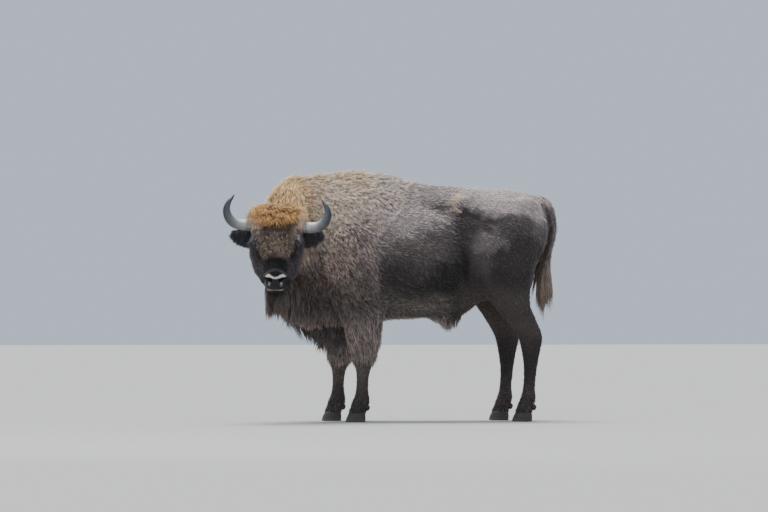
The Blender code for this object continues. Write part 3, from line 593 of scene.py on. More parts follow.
PUPIL_LONG = np.array((0.53, 0.0, 0.85))  # the way the pupil's slot runs, which is level
EYE_HALF = (0.0190, 0.0115, 0.0085)  # half length of the opening, and its heights above and below
NOSTRIL = ((0.031, 0.368), (0.077, 0.349))  # a comma's ends: across and below the skull's middle
NOSTRIL_RADIUS = (0.0104, 0.0060)
NOSTRIL_DEPTH = 0.020
MOUTH_LEVEL = -0.066


def to_line(points, start, end):
    """The distance from a straight middle line, and how far along it the nearest place is."""
    start, along = np.array(start), np.array(end) - np.array(start)
    share = np.clip(((points - start) @ along) / max(along @ along, 1e-9), 0, 1)
    return np.linalg.norm(points - start - share[:, None] * along, axis=1), share


def swelling(points, folds):
    """The sum of the folds' heights: each falls from its middle line as (1 - distance² / radius²)²."""
    total = np.zeros(len(points))
    for start, end, radius, height in folds:
        distance, _ = to_line(points, start, end)
        total += height * np.clip(1 - (distance / radius) ** 2, 0, 1) ** 2
    return total


def mirrored(points):
    """The points with y as a distance from the middle plane, and the side that each is on."""
    side = np.where(points[:, 1] < 0, -1.0, 1.0)
    return points * np.stack([np.ones(len(points)), side, np.ones(len(points))], axis=1), side


def eye_reach(half):
    """Where points of a head lie about the eye: distance and direction from its middle, how far they
    are along and above its opening's long axis, and how far out in the opening, 1 on its edge."""
    offset = half - EYE_AT
    distance = np.linalg.norm(offset, axis=1)
    way = offset / np.maximum(distance, 1e-9)[:, None]
    along, up = offset @ EYE_LONG, offset @ EYE_UP
    tall = np.where(up > 0, EYE_HALF[1], EYE_HALF[2])
    opening = np.sqrt((along / EYE_HALF[0]) ** 2 + (up / tall) ** 2)
    opening = np.where((way @ EYE_OUT > 0.05) & (distance < 0.09), opening, 9.0)
    return distance, way, along, up, opening


def with_lids(half):
    """A head's points drawn onto the eye: sunk behind it inside the opening, raised just proud of it
    in a rolled rim, and eased back into the face beyond, with a fold over the upper lid."""
    distance, way, _, up, opening = eye_reach(half)
    upper = ramp(up, -0.002, 0.005)
    rim = EYE_RADIUS + 0.0024 + 0.0022 * upper * ramp(opening, 1.1, 1.4)
    inside = EYE_RADIUS - 0.0060
    wanted = inside + (rim - inside) * ramp(opening, 0.92, 1.10)
    share = ramp(opening, 2.3, 1.35)
    fold = -0.0045 * upper * np.exp(-(((opening - 2.05) / 0.24) ** 2))
    fold += 0.0030 * upper * np.exp(-(((opening - 2.75) / 0.40) ** 2))
    fold -= 0.0022 * (1 - upper) * np.exp(-(((opening - 2.3) / 0.30) ** 2))
    moved = EYE_AT + way * (distance + (wanted - distance) * share + fold)[:, None]
    return np.where((opening < 4.0)[:, None], moved, half)


def nostril_reach(half_level, drop):
    """How far in each point is in the comma-shaped nostril: 1 in its middle, 0 at its rim, and less
    outside, measured across the face and down it."""
    flat = np.stack([half_level[:, 1], drop], axis=1)
    distance, share = to_line(flat, *NOSTRIL)
    radius = NOSTRIL_RADIUS[0] + (NOSTRIL_RADIUS[1] - NOSTRIL_RADIUS[0]) * share
    return 1 - distance / radius


def modelled(points, normals):
    """The flesh with its relief: bones and muscles, then brow, cheeks, lips, nostrils and lids."""
    region = Region(points)
    body, _ = mirrored(points)
    own = (1 - region.head) * (1 - region.ear) * (1 - region.tail)
    height = swelling(body, BODY_RELIEF) * own
    height += 0.004 * ripple(points, 0.20, 11) * own * (1 - region.leg)
    half, _ = mirrored(region.skull)
    height += swelling(half, HEAD_RELIEF) * region.head
    lips = np.abs(half[:, 2] - MOUTH_LEVEL - 0.02 * ramp(half[:, 0], 0.42, 0.34))
    height -= 0.006 * ramp(lips, 0.007, 0.001) * ramp(half[:, 0], 0.335, 0.36) * region.head
    front = ramp(half[:, 0], 0.42, 0.44) * ramp(half[:, 2], -0.06, -0.045)
    groove = ramp(half[:, 1], 0.004, 0.0) * front  # the split of the upper lip
    height -= 0.0022 * groove
    points = points + normals * height[:, None]
    points = points - normals * coat_depth(region)[:, None]
    # An ear is cupped on the side that faces forward.
    level = seen_from(points, LEVEL)
    ear_line = -0.068 + 0.10 * ramp(np.abs(level[:, 1]), 0.20, 0.31) * 0.2
    cup = np.clip(1 - ((level[:, 2] + 0.090) / 0.036) ** 2, 0, 1)
    cup *= np.clip(1 - ((np.abs(level[:, 1]) - 0.215) / 0.075) ** 2, 0, 1) ** 0.5
    ahead = ramp(level[:, 0] - ear_line, 0.000, 0.006)
    points = points - LEVEL[:3, 0] * (0.013 * cup * ahead * region.ear)[:, None]
    # Nostrils go straight back into the muzzle.
    half_level, _ = mirrored(seen_from(points, LEVEL))
    nostril = nostril_reach(half_level, HEAD_AT.z - points[:, 2])
    deep = NOSTRIL_DEPTH * ramp(nostril, 0.0, 0.55) - 0.0022 * np.exp(-(((nostril + 0.35) / 0.30) ** 2))
    facing = ramp(region.skull[:, 0], 0.40, 0.415) * ramp(region.skull[:, 2], -0.03, -0.015)
    points = points - LEVEL[:3, 0] * (deep * facing)[:, None]
    # Lids on the eyes.
    half, side = mirrored(seen_from(points, SKULL))
    near = region.head > 0.3
    half[near] = with_lids(half[near])
    half[:, 1] *= side
    return placed(half, SKULL)


def coat_depth(region):
    """How far the skin lies inside the tips of the coat."""
    depth = 0.010 + 0.018 * region.mane + 0.002 * region.crest + 0.004 * region.belly
    depth -= 0.007 * (1 - region.mane) * ramp(region.z, 1.44, 1.54)
    for share, value in (
        (region.leg, 0.006),
        (region.fore * ramp(region.z, 0.36, 0.50), 0.016),
        (region.throat, 0.006),
        (region.sheath, 0.003),
        (region.tail, 0.0),
        (region.head, 0.006),
        (region.crown, 0.0),
        (region.beard, 0.0),
        (region.muzzle(), 0.001),
        (region.ear, 0.0),
    ):
        depth = depth + (value - depth) * share
    half, _ = mirrored(region.skull)
    by_eye = ramp(np.linalg.norm(half - EYE_AT, axis=1), 0.060, 0.035)
    return depth + (0.001 - depth) * by_eye


def strode(rows, side, stride):
    """A leg's rows for one side, its lower end moved along by the stride."""
    rows = np.array(rows, float)
    rows[:, 1] *= side
    share = ramp(rows[:, 0], 1.15, 0.50)
    rows[:, 3:6] += (stride * share)[:, None]
    return rows


def thinned(rows, share):
    """Rows with each section's reach from its middle cut to a share."""
    rows = np.array(rows, float)
    for k in (3, 5):
        rows[:, k] = rows[:, 4] + (rows[:, k] - rows[:, 4]) * share
    rows[:, 6] *= share
    return rows


def flesh():
    """The bull without its coat, horns and hooves, as lofts that run into each other."""
    tail = thinned(TAIL, 0.80 + 0.24 * ramp(np.array(TAIL)[:, 0], 1.38, 1.47))
    shapes = [loft(TRUNK), loft(DEWLAP), loft(SHEATH), loft(HEAD, SKULL), loft(CROWN, SKULL)]
    shapes += [loft(CHIN, UPRIGHT), loft(tail[tail[:, 0] > DOCK_END], UPRIGHT, around=24)]
    for side in (-1, 1):
        shapes.append(loft(strode(FORELEG, side, FORE_STRIDE * (side > 0)), UPRIGHT))
        shapes.append(loft(strode(HINDLEG, side, HIND_STRIDE * (side > 0)), UPRIGHT))
        ear = np.array(EAR)
        ear[:, 1] *= side
        shapes.append(loft(ear, LEVEL, around=32))
    return joined(shapes)


def finer(mesh, chosen):
    """Splits the chosen faces of a mesh into four."""
    shape = bmesh.new()
    shape.from_mesh(mesh)
    shape.faces.ensure_lookup_table()
    edges = {edge for index in np.flatnonzero(chosen) for edge in shape.faces[index].edges}
    bmesh.ops.subdivide_edges(shape, edges=sorted(edges, key=lambda e: e.index), cuts=1, use_grid_fill=True)
    shape.to_mesh(mesh)
    shape.free()


def face_middles(mesh):
    """The middle of each face of a mesh, in the bull's frame."""
    middles = np.empty(len(mesh.polygons) * 3, np.float32)
    mesh.polygons.foreach_get("center", middles)
    return middles.reshape(-1, 3).astype(float) - ORIGIN


def settle(thing):
    """The object's evaluated mesh in place of its own, with no modifiers left."""
    graph = bpy.context.evaluated_depsgraph_get()
    mesh = bpy.data.meshes.new_from_object(thing.evaluated_get(graph))
    thing.modifiers.clear()
    old, thing.data = thing.data, mesh
    bpy.data.meshes.remove(old)
    return thing


def put_back(mesh, points):
    """Moves a mesh's points to places given in the bull's frame."""
    mesh.vertices.foreach_set("co", (points + ORIGIN).astype(np.float32).ravel())
    mesh.update()


def make_skin(look):
    """One closed skin: the lofts fused on a fine grid, smoothed, refined at the eyes and muzzle,
    modelled, and thinned where the coat hides it. Returns it with its full-size arrays."""
    skin = built("wisent_skin", *flesh(), look)
    fuse = skin.modifiers.new("Fuse", "REMESH")
    fuse.mode = "VOXEL"
    fuse.voxel_size = SKIN_VOXEL
    settle(skin)
    mesh = skin.data
    points, _ = arrays_of(mesh)
    edges = edges_of(mesh)
    points = relaxed(points, edges, 5)
    fine = np.clip(Region(points).head + Region(points).ear, 0, 1)[:, None]
    smooth = relaxed(points, edges, 22)
    put_back(mesh, smooth + (points - smooth) * fine)
    for reach in (0.052, 0.036):
        middles = seen_from(face_middles(mesh), SKULL)
        half, _ = mirrored(middles)
        close = np.linalg.norm(half - EYE_AT - EYE_OUT * 0.012, axis=1) < reach
        muzzle = (half[:, 0] > 0.455 - 1.5 * reach) & (half[:, 2] > -0.10) & (half[:, 1] < 0.12)
        finer(mesh, close | muzzle)
    points, triangles = arrays_of(mesh)
    edges = edges_of(mesh)
    half, _ = mirrored(seen_from(points, SKULL))
    soft = np.maximum(ramp(np.linalg.norm(half - EYE_AT, axis=1), 0.08, 0.06), ramp(half[:, 0], 0.34, 0.38))
    points += (relaxed(points, edges, 6) - points) * soft[:, None]
    points = modelled(points, normals_of(points, triangles))
    near_eye = ramp(np.linalg.norm(mirrored(seen_from(points, SKULL))[0] - EYE_AT, axis=1), 0.030, 0.040)
    points += (relaxed(points, edges, 2) - points) * near_eye[:, None]
    put_back(mesh, points)
    dense = (points, triangles, normals_of(points, triangles))
    region = Region(points)
    hidden = np.flatnonzero((region.head < 0.5) & (region.ear < 0.2))
    group = skin.vertex_groups.new(name="thin")
    group.add(hidden.tolist(), 1.0, "REPLACE")
    thin = skin.modifiers.new("Thin", "DECIMATE")
    thin.vertex_group = "thin"
    thin.ratio = SKIN_FACES / len(triangles)
    settle(skin)
    skin.vertex_groups.clear()
    skin.data.shade_smooth()
    return skin, dense


# ---------------------------------------------------------------- markings

# Some of these colours hold painted light and shade as well as the coat's own colour: the back, rump top,
# hump and crest top are paler where light falls from above, and the flank, the side of the rump and the thigh
# are darker where shade falls.
BROWN = (0.160, 0.134, 0.126)
BACK = (0.345, 0.292, 0.280)
MID_FLANK = (0.098, 0.082, 0.080)
LOW_FLANK_AND_SHADE = (0.020, 0.018, 0.019)
UNDERSIDE = (0.200, 0.170, 0.152)
LIT_RUMP_TOP = (0.560, 0.472, 0.457)
RUMP_SIDE = (0.066, 0.055, 0.056)
THIGH = (0.044, 0.036, 0.036)
LOW_THIGH = (0.090, 0.072, 0.066)
HIP_GOLD_AND_HIGHLIGHT = (0.800, 0.600, 0.420)
SHOULDER = (0.255, 0.205, 0.188)
LOW_SHOULDER = (0.135, 0.108, 0.096)
HUMP = (0.780, 0.650, 0.535)
CREST = (0.470, 0.310, 0.150)
CREST_TOP = (0.720, 0.550, 0.370)
NECK = (0.360, 0.270, 0.210)
LOW_NECK = (0.085, 0.061, 0.049)
THROAT = (0.084, 0.070, 0.066)
LEG = (0.180, 0.144, 0.130)
LOW_LEG = (0.084, 0.068, 0.061)
CROWN_GOLD = (0.300, 0.160, 0.060)
CROWN_SIDE = (0.540, 0.385, 0.245)
SHADE_UNDER_CROWN = (0.075, 0.043, 0.026)
FOREHEAD = (0.070, 0.053, 0.045)
CURL_TIP = (0.520, 0.385, 0.265)
CROWN_TIP = (0.700, 0.460, 0.210)
CROWN_SIDE_TIP = (0.680, 0.500, 0.340)
FACE_DARK = (0.007, 0.007, 0.009)
CHEEK = (0.068, 0.058, 0.061)
CHEEK_RIM = (0.190, 0.125, 0.080)
EAR_BLACK = (0.036, 0.036, 0.043)
LID_GREY = (0.148, 0.132, 0.142)
LID_PALE = (0.260, 0.240, 0.250)
BEARD = (0.090, 0.072, 0.066)
TAIL_BROWN = (0.175, 0.148, 0.147)
TUFT_BROWN = (0.200, 0.146, 0.115)
TUFT_TIP = (0.380, 0.280, 0.200)
SHEATH_TIP = (0.320, 0.250, 0.200)
NOSE_WHITE = (0.520, 0.500, 0.450)
NOSE_BLACK = (0.014, 0.013, 0.014)
MOUTH_BLACK = (0.007, 0.006, 0.007)
NOSE_GREY = (0.036, 0.034, 0.038)
ARC_GREY = (0.085, 0.081, 0.090)
SPOT_PALE = (0.220, 0.220, 0.215)
LIP_PALE = (0.620, 0.540, 0.400)
WET_BLACK = (0.006, 0.006, 0.008)
LID_RIM = (0.010, 0.009, 0.010)
# A dark white: partly painted shade from the heavy lids.
SHADED_EYE_WHITE = (0.034, 0.024, 0.020)
IRIS = (0.026, 0.013, 0.008)
IRIS_RIM = (0.008, 0.005, 0.004)
PUPIL = (0.002, 0.002, 0.003)
EYE_BACK = (0.020, 0.014, 0.012)
EYE_POLES = ((0.003, 0.003, 0.004), (0.030, 0.024, 0.022))
# Painted light: the left lids are paler because light falls on that side.
LEFT_LID_PAINTED_LIGHT = 2.7  # how much paler the left eye's lids are, over the right's
DARKEST, PALEST = 0.004, 0.8  # the coat's colours stay between these


def patch(points, middle, radii):
    """A soft-edged ellipsoid: 1 in its middle and 0 at its radii."""
    return ramp((((points - np.array(middle)) / np.array(radii)) ** 2).sum(1), 1.0, 0.0)


def washed(tone, colour, share):
    """Lays a colour over tone by a share from 0 to 1."""
    tone += (np.array(colour) - tone) * np.clip(share, 0, 1)[:, None]


def tones(region):
    """The coat's colour at each point, laid on in washes from the trunk out to the head and feet. The
    pale rump, back and hump and the near-black flank hold some of the light and shade of an overcast
    day as well as the coat's own colour."""
    points = region.points
    strays = np.stack([ripple(points, 0.11, 22), np.zeros(len(points)), ripple(points, 0.09, 23)], axis=1)
    x, z = region.x, region.z + 0.035 * ripple(points, 0.30, 21) + 0.013 * strays[:, 2]
    body = mirrored(points)[0] + 0.020 * strays
    half, hand = mirrored(region.skull)
    hx, hy, hz = half.T
    rump, mane, head = region.rump, region.mane, region.head
    brow = head * ramp(hz, -0.02, 0.03) * ramp(hy, 0.130, 0.095)
    forward = ramp(x, -0.74, -1.14)
    over_hip = z + 0.09 * ramp(x, 0.18, 0.42)
    # Painted highlight on the point of the hip and the ridge below it, partly paler coat.
    hip = 0.9 * patch(body, (0.098, 0.20, 1.528), (0.070, 0.13, 0.048))
    hip = np.maximum(hip, 0.85 * patch(body, (0.062, 0.24, 1.470), (0.030, 0.12, 0.060)))
    hip = np.maximum(hip, 0.7 * patch(body, (0.038, 0.25, 1.420), (0.024, 0.12, 0.045)))
    washes = [
        (BACK, ramp(z, 1.14, 1.40)),
        (MID_FLANK, ramp(z, 1.25, 1.00)),
        (LOW_FLANK_AND_SHADE, ramp(z, 1.16, 0.86) * (0.72 + 0.28 * ramp(x, -0.32, -0.05))),
        (LOW_FLANK_AND_SHADE, 0.8 * patch(body, (0.000, 0.26, 0.985), (0.180, 0.22, 0.140))),
        (LIT_RUMP_TOP, 0.6 * patch(body, (-0.200, 0.27, 1.370), (0.230, 0.20, 0.150))),
        (MID_FLANK, 0.45 * patch(body, (-0.040, 0.27, 1.240), (0.280, 0.20, 0.130))),
        # Painted shade in the hollow of the flank.
        (LOW_FLANK_AND_SHADE, 0.75 * patch(body, (-0.050, 0.27, 1.460), (0.115, 0.14, 0.052))),
        # Painted shade in the dip behind the hump.
        (MID_FLANK, 0.6 * patch(body, (-0.340, 0.10, 1.600), (0.130, 0.25, 0.060))),
        (UNDERSIDE, region.trunk * ramp(z, 0.94, 0.70)),
        (HUMP, 0.30 * region.trunk * ramp(z, 1.50, 1.60) * ramp(x, 0.05, -0.30)),
        # Darker side of the rump below the hip: partly painted shade under the hip's ledge.
        (RUMP_SIDE, ramp(x, -0.02, 0.10) * ramp(over_hip, 1.530, 1.430) * ramp(z, 0.98, 1.16)),
        (LIT_RUMP_TOP, ramp(x, -0.16, 0.28) * ramp(over_hip, 1.440, 1.530)),
        (BACK, 0.22 * patch(body, (0.500, 0.25, 1.330), (0.200, 0.20, 0.110))),
        (THIGH, rump * ramp(z, 1.26, 0.96)),
        (THIGH, 0.4 * patch(body, (0.520, 0.26, 1.270), (0.140, 0.20, 0.120))),
        # Painted shadow in the fold before the thigh.
        (LOW_FLANK_AND_SHADE, 0.8 * patch(body, (0.095, 0.26, 1.010), (0.080, 0.20, 0.200))),
        (HIP_GOLD_AND_HIGHLIGHT, hip),
        # Painted light on the swelling of the thigh and the ridge before it.
        (BACK, 0.55 * patch(body, (0.290, 0.26, 1.220), (0.150, 0.12, 0.110))),
        (BACK, 0.16 * patch(body, (0.240, 0.26, 1.080), (0.110, 0.12, 0.180))),
        (BACK, 0.30 * patch(body, (0.620, 0.14, 0.980), (0.110, 0.14, 0.220))),
        (LIT_RUMP_TOP, 0.22 * rump * ramp(x, 0.56, 0.66) * ramp(z, 1.10, 1.35)),
        (RUMP_SIDE, 0.35 * patch(body, (0.600, 0.12, 1.470), (0.090, 0.14, 0.070))),
        (LOW_THIGH, rump * ramp(z, 1.04, 0.76)),
        (SHOULDER, mane),
        (LOW_SHOULDER, mane * ramp(z, 1.18, 0.94)),
        (THROAT, 0.7 * mane * ramp(z, 0.98, 0.80)),
        (NECK, 0.42 * mane * patch(body, (-0.750, 0.27, 1.120), (0.140, 0.25, 0.240))),
        (HUMP, 0.28 * mane * patch(body, (-0.830, 0.27, 1.270), (0.150, 0.20, 0.130))),
        (NECK, mane * ramp(x, -0.80, -0.98) * ramp(z, 1.06, 1.24)),
        (LOW_NECK, mane * ramp(x, -0.80, -0.98) * ramp(z, 1.16, 1.02)),
        (HUMP, mane * ramp(z, 1.24, 1.44)),
        (BACK, 0.7 * mane * ramp(x, -0.60, -0.35) * ramp(z, 1.20, 1.34)),
        (CREST_TOP, 0.6 * mane * ramp(z, 1.56, 1.69) * ramp(x, -0.40, -0.60)),
        (LIT_RUMP_TOP, 0.75 * patch(body, (-0.330, 0.27, 1.400), (0.190, 0.20, 0.150))),
        (CREST, mane * forward * ramp(z, 1.36, 1.56)),
        (CREST, 0.85 * mane * patch(points, (-1.12, -0.36, 1.46), (0.36, 0.34, 0.36))),
        (THROAT, mane * ramp(z, 1.00, 0.84) * ramp(x, -0.66, -0.80)),
        (THROAT, region.throat),
        (LEG, region.fore),
        (THIGH, region.hind),
        (LOW_THIGH, region.hind * ramp(z, 0.45, 0.65)),
        (LOW_LEG, region.leg * ramp(z, 0.42, 0.20)),
        (SHEATH_TIP, 0.8 * region.sheath * ramp(region.z, 0.72, 0.64)),
        (TAIL_BROWN, region.tail),
        (LIT_RUMP_TOP, 0.7 * region.tail * ramp(z, 1.44, 1.52)),
        # Painted shadow between the tail and the rump.
        (LOW_FLANK_AND_SHADE, 0.8 * region.tail * ramp(hollow_of_tail(region), 0.006, -0.012) * ramp(z, 1.48, 1.40)),
        (TUFT_BROWN, region.tail * ramp(z, 1.20, 1.02)),
        (CHEEK, head),
        # Golden sides to the cheeks: partly golden hair, partly painted rim light on the hair that stands
        # out.
        (CHEEK_RIM, 0.55 * head * ramp(hy, 0.130, 0.165) * ramp(hz, -0.03, -0.08)),
        (FOREHEAD, brow),
        (FACE_DARK, head * ramp(hx, 0.240, 0.310) * ramp(hy, 0.105, 0.045) * ramp(hz, -0.03, 0.01)),
        (FACE_DARK, 0.9 * head * patch(half, (0.220, 0.112, 0.010), (0.075, 0.034, 0.045))),
        # Painted shade in a band under the curls of the crown.
        (SHADE_UNDER_CROWN, head * ramp(hx, 0.085, 0.045) * ramp(hz, -0.03, 0.01) * ramp(hy, 0.115, 0.080)),
        (NECK, 0.45 * head * ramp(hx, 0.110, 0.070) * ramp(hz, -0.03, 0.01) * ramp(hy, 0.080, 0.110)),
        (CROWN_GOLD, region.crown * ramp(hx, 0.040, 0.005)),
        (CROWN_SIDE, region.crown * ramp(hy, 0.105, 0.155)),
        (NECK, 0.8 * region.crown * ramp(hy, 0.105, 0.135) * ramp(hx, -0.020, 0.025)),
        (CREST, 0.6 * region.crown * ramp(hx, -0.045, -0.085)),
        (BEARD, region.beard),
        # Painted shade on the beard just under the lip.
        (FACE_DARK, 0.25 * region.beard * ramp(hx, 0.330, 0.370)),
        (EAR_BLACK, region.ear),
    ]
    tone = np.tile(np.array(BROWN), (len(points), 1))
    for colour, share in washes:
        washed(tone, colour, share)
    eye_tones(half, hand, head, tone)
    washed(tone, muzzle_tone(region), region.muzzle(0.365, 0.385))
    return np.clip(tone, DARKEST, PALEST)


def hollow_of_tail(region):
    """How far behind the tail's own middle line each point is."""
    line = np.array(TAIL)[::-1]
    return region.x - np.interp(region.z, line[:, 0], line[:, 4])


def eye_tones(half, hand, head, tone):
    """Round the eye: grey lids, paler above the outer half and, as painted light, on the left, a dark fold
    over and under them as painted shade, and a dark wet patch from the inner corner down."""
    distance, _, along, up, opening = eye_reach(half)
    near = head * (distance < 0.08)
    upper = ramp(up, -0.004, 0.005)
    washed(tone, LID_GREY, near * ramp(opening, 3.2, 2.5))
    washed(tone, LID_PALE, 0.65 * head * patch(half, (0.098, 0.155, 0.002), (0.040, 0.036, 0.042)))
    tone *= 1 + (LEFT_LID_PAINTED_LIGHT * near * (hand > 0) * ramp(opening, 3.6, 2.4))[:, None]
    washed(tone, LID_PALE, 0.6 * near * ramp(opening, 2.0, 1.7) * upper * ramp(along, 0.004, -0.010))
    # Painted shade in the fold over the upper lid and in the fold under the eye.
    washed(tone, FACE_DARK, 0.95 * near * np.exp(-(((opening - 2.1) / 0.22) ** 2)) * upper)
    washed(tone, FACE_DARK, 0.7 * near * np.exp(-(((opening - 2.3) / 0.35) ** 2)) * (1 - upper))
    corner = np.hypot((along - 0.030) * 0.7, up + 0.008)
    washed(tone, WET_BLACK, near * ramp(corner, 0.020, 0.009))
    washed(tone, LID_RIM, near * ramp(opening, 1.34, 1.16))


def muzzle_tone(region):
    """The muzzle's markings, by place across it and drop below the skull's middle: a grey arc round
    the top of the nose, a white band that dips in the middle, a dark pad, nostrils darker still with painted
    shade, a pale spot below each nostril, a pale edge to the upper lip, and painted shade along the mouth."""
    across = np.abs(region.level[:, 1]) + 0.0010 * ripple(region.points, 0.02, 31)
    drop = region.drop + 0.0010 * ripple(region.points, 0.016, 32)
    hx, _, hz = region.skull.T
    tone = np.tile(np.array(NOSE_GREY), (len(across), 1))
    arc = 0.291 + 0.042 * (across / 0.07) ** 2
    broken = 0.65 + 0.35 * ripple(region.points, 0.025, 34)
    rim = np.exp(-(((drop - arc) / 0.009) ** 2)) * ramp(across, 0.085, 0.070)
    washed(tone, ARC_GREY, broken * rim)
    washed(tone, FACE_DARK, ramp(drop, arc + 0.004, arc + 0.016) * ramp(across, 0.055, 0.035))
    band = 0.3530 - 0.015 * ramp(across, 0.006, 0.046) + 0.010 * ramp(across, 0.050, 0.072)
    thick = 0.0046 + 0.0030 * ramp(across, 0.004, 0.040) + 0.0012 * ripple(region.points, 0.03, 35)
    white = ramp(np.abs(drop - band), thick + 0.0045, thick - 0.001)
    washed(tone, NOSE_WHITE, white * ramp(across, 0.073, 0.060))
    washed(tone, NOSE_BLACK, ramp(drop, band + thick, band + thick + 0.005))
    spot = ((across - 0.041) / 0.010) ** 2 + ((drop - 0.393) / 0.015) ** 2
    spot += 0.45 * ripple(region.points, 0.014, 33)
    washed(tone, SPOT_PALE, 0.9 * ramp(spot, 1.3, 0.1))
    lip = ramp(np.abs(hz - MOUTH_LEVEL - 0.0080), 0.0075, 0.0035) * ramp(across, 0.060, 0.048)
    washed(tone, LIP_PALE, lip * (0.45 + 0.55 * ramp(across, 0.012, 0.034)) * ramp(hx, 0.42, 0.44))
    # Painted shade along the line of the mouth and under the upper lip, over the lips' own dark skin.
    washed(tone, MOUTH_BLACK, ramp(hz, MOUTH_LEVEL + 0.001, MOUTH_LEVEL - 0.003))
    washed(tone, FACE_DARK, 0.8 * ramp(hz, MOUTH_LEVEL - 0.002, MOUTH_LEVEL - 0.006))
    # Painted shade in the nostrils, over their own dark skin.
    hole = nostril_reach(np.abs(region.level), region.drop)
    washed(tone, MOUTH_BLACK, ramp(hole, -0.35, -0.05) * ramp(hx, 0.40, 0.415))
    return tone


# ---------------------------------------------------------------- the lie and length of the coat


def lie_of(region, normals, rng):
    """The way the hair lies at each point, along the skin: back and down over the trunk, down the
    limbs, towards the muzzle on the face, and outwards from the middle of the crown."""
    x, z = region.x, region.z
    back = np.stack([np.cos(region.heading), np.sin(region.heading), np.zeros(len(x))], axis=1)
    down = np.array((0.0, 0.0, -1.0))
    fall = 0.28 + 0.50 * ramp(z, 1.35, 0.95)
    fall = fall + (0.85 + 0.7 * ramp(z, 1.50, 1.0) - fall) * region.mane
    fall = fall * (1 - 0.6 * ramp(normals[:, 2], 0.5, 0.95)) * (1 - region.belly)
    fall += 2.2 * region.rump * ramp(x, 0.40, 0.66) + 5 * np.maximum(region.throat, region.leg)
    fall += 1.3 * region.rump * ramp(z, 1.30, 1.05) + 6 * region.sheath
    poll = patch(region.points, (-1.13, -0.40, 1.42), (0.30, 0.30, 0.40))  # where the neck meets the head
    way = back + down * (fall * (1 - poll) - 1.8 * poll)[:, None]
    half, side = mirrored(region.skull)
    spread_out = 2.4 - 1.6 * ramp(half[:, 0], 0.12, 0.26)
    under = -1.2 * ramp(half[:, 2], 0.02, -0.10)
    face = np.stack([np.ones(len(x)), side * half[:, 1] * spread_out, under], axis=1)
    crown = unit(np.stack([half[:, 0] + 0.130, side * half[:, 1] * 0.9, np.full(len(x), -0.02)], axis=1))
    ear = np.stack([np.full(len(x), -0.1), side, np.full(len(x), -0.60)], axis=1)
    tail = np.stack([1.6 * ramp(z, 1.44, 1.53), np.zeros(len(x)), -np.ones(len(x))], axis=1)
    for share, vector in (
        (region.tail, tail),
        (region.head, unit(face) @ SKULL[:3, :3].T),
        (region.crown, crown @ SKULL[:3, :3].T),
        (region.beard, np.tile(down, (len(x), 1)) + 0.25 * SKULL[:3, 0]),
        (region.ear, unit(ear) @ LEVEL[:3, :3].T),
    ):
        way = unit(way)
        way = way + (vector - way) * share[:, None]
    way = unit(way - normals * (way * normals).sum(1)[:, None])
    turn = 0.30 * ripple(region.points, 0.16, 41) + 0.16 * rng.normal(size=len(x))
    turn = turn * (1 + 1.6 * region.crown)
    return unit(way * np.cos(turn)[:, None] + np.cross(normals, way) * np.sin(turn)[:, None])


# Hair by part of the body: length, breadth of a tuft, rise of its tip, size of a lock, how far a
# lock's tufts draw together, sway, how closely the tufts stand, the radius of a curl, and how far the
# hair hangs straight down. The first line names the columns that are read on their own.
LENGTH, BREADTH, RISE, LOCK, CLOSENESS, HANG = 0, 1, 2, 3, 6, 8
LID_HAIR = (0.006, 0.0016, 0.0012, 0.008, 0.1, 0.0, 4.0, 0.0, 0.0)
HAIR = {
    "trunk": (0.030, 0.0044, 0.010, 0.022, 0.50, 0.003, 1.0, 0.0, 0.0),
    "rump": (0.025, 0.0040, 0.007, 0.018, 0.40, 0.002, 1.0, 0.0, 0.0),
    "belly": (0.045, 0.0050, 0.014, 0.030, 0.50, 0.004, 0.8, 0.0, 0.2),
    "mane": (0.042, 0.0046, 0.024, 0.026, 0.75, 0.005, 1.0, 0.0034, 0.0),
    "crest": (0.048, 0.0048, 0.027, 0.034, 0.75, 0.006, 1.4, 0.0034, 0.0),
    "throat": (0.145, 0.0062, 0.018, 0.036, 0.60, 0.010, 1.0, 0.0030, 0.55),
    "leg": (0.018, 0.0031, 0.0055, 0.011, 0.25, 0.001, 1.0, 0.0, 0.0),
    "coronet": (0.032, 0.0034, 0.011, 0.012, 0.40, 0.001, 3.0, 0.0, 0.3),
    "cuff": (0.060, 0.0050, 0.020, 0.030, 0.55, 0.005, 1.6, 0.0, 0.4),
    "sheath": (0.065, 0.0050, 0.012, 0.022, 0.70, 0.004, 2.0, 0.0, 0.6),
    "head": (0.015, 0.0030, 0.0045, 0.012, 0.35, 0.001, 2.2, 0.0, 0.0),
    "cheek": (0.034, 0.0038, 0.015, 0.018, 0.60, 0.003, 2.0, 0.0010, 0.1),
    "brow": (0.031, 0.0030, 0.015, 0.0135, 0.85, 0.003, 3.0, 0.0026, 0.0),
    "muzzle": (0.007, 0.0015, 0.0018, 0.008, 0.10, 0.0, 6.0, 0.0, 0.0),
    "crown": (0.042, 0.0038, 0.024, 0.019, 0.90, 0.004, 2.0, 0.0050, 0.12),
    "beard": (0.215, 0.0054, 0.008, 0.030, 0.60, 0.008, 2.0, 0.0020, 0.80),
    "ear": (0.032, 0.0030, 0.011, 0.014, 0.50, 0.002, 2.2, 0.0, 0.1),
    "tail": (0.036, 0.0036, 0.013, 0.016, 0.35, 0.002, 1.6, 0.0, 0.1),
    "tuft": (0.285, 0.0048, 0.024, 0.028, 0.45, 0.006, 3.6, 0.0, 0.93),
}


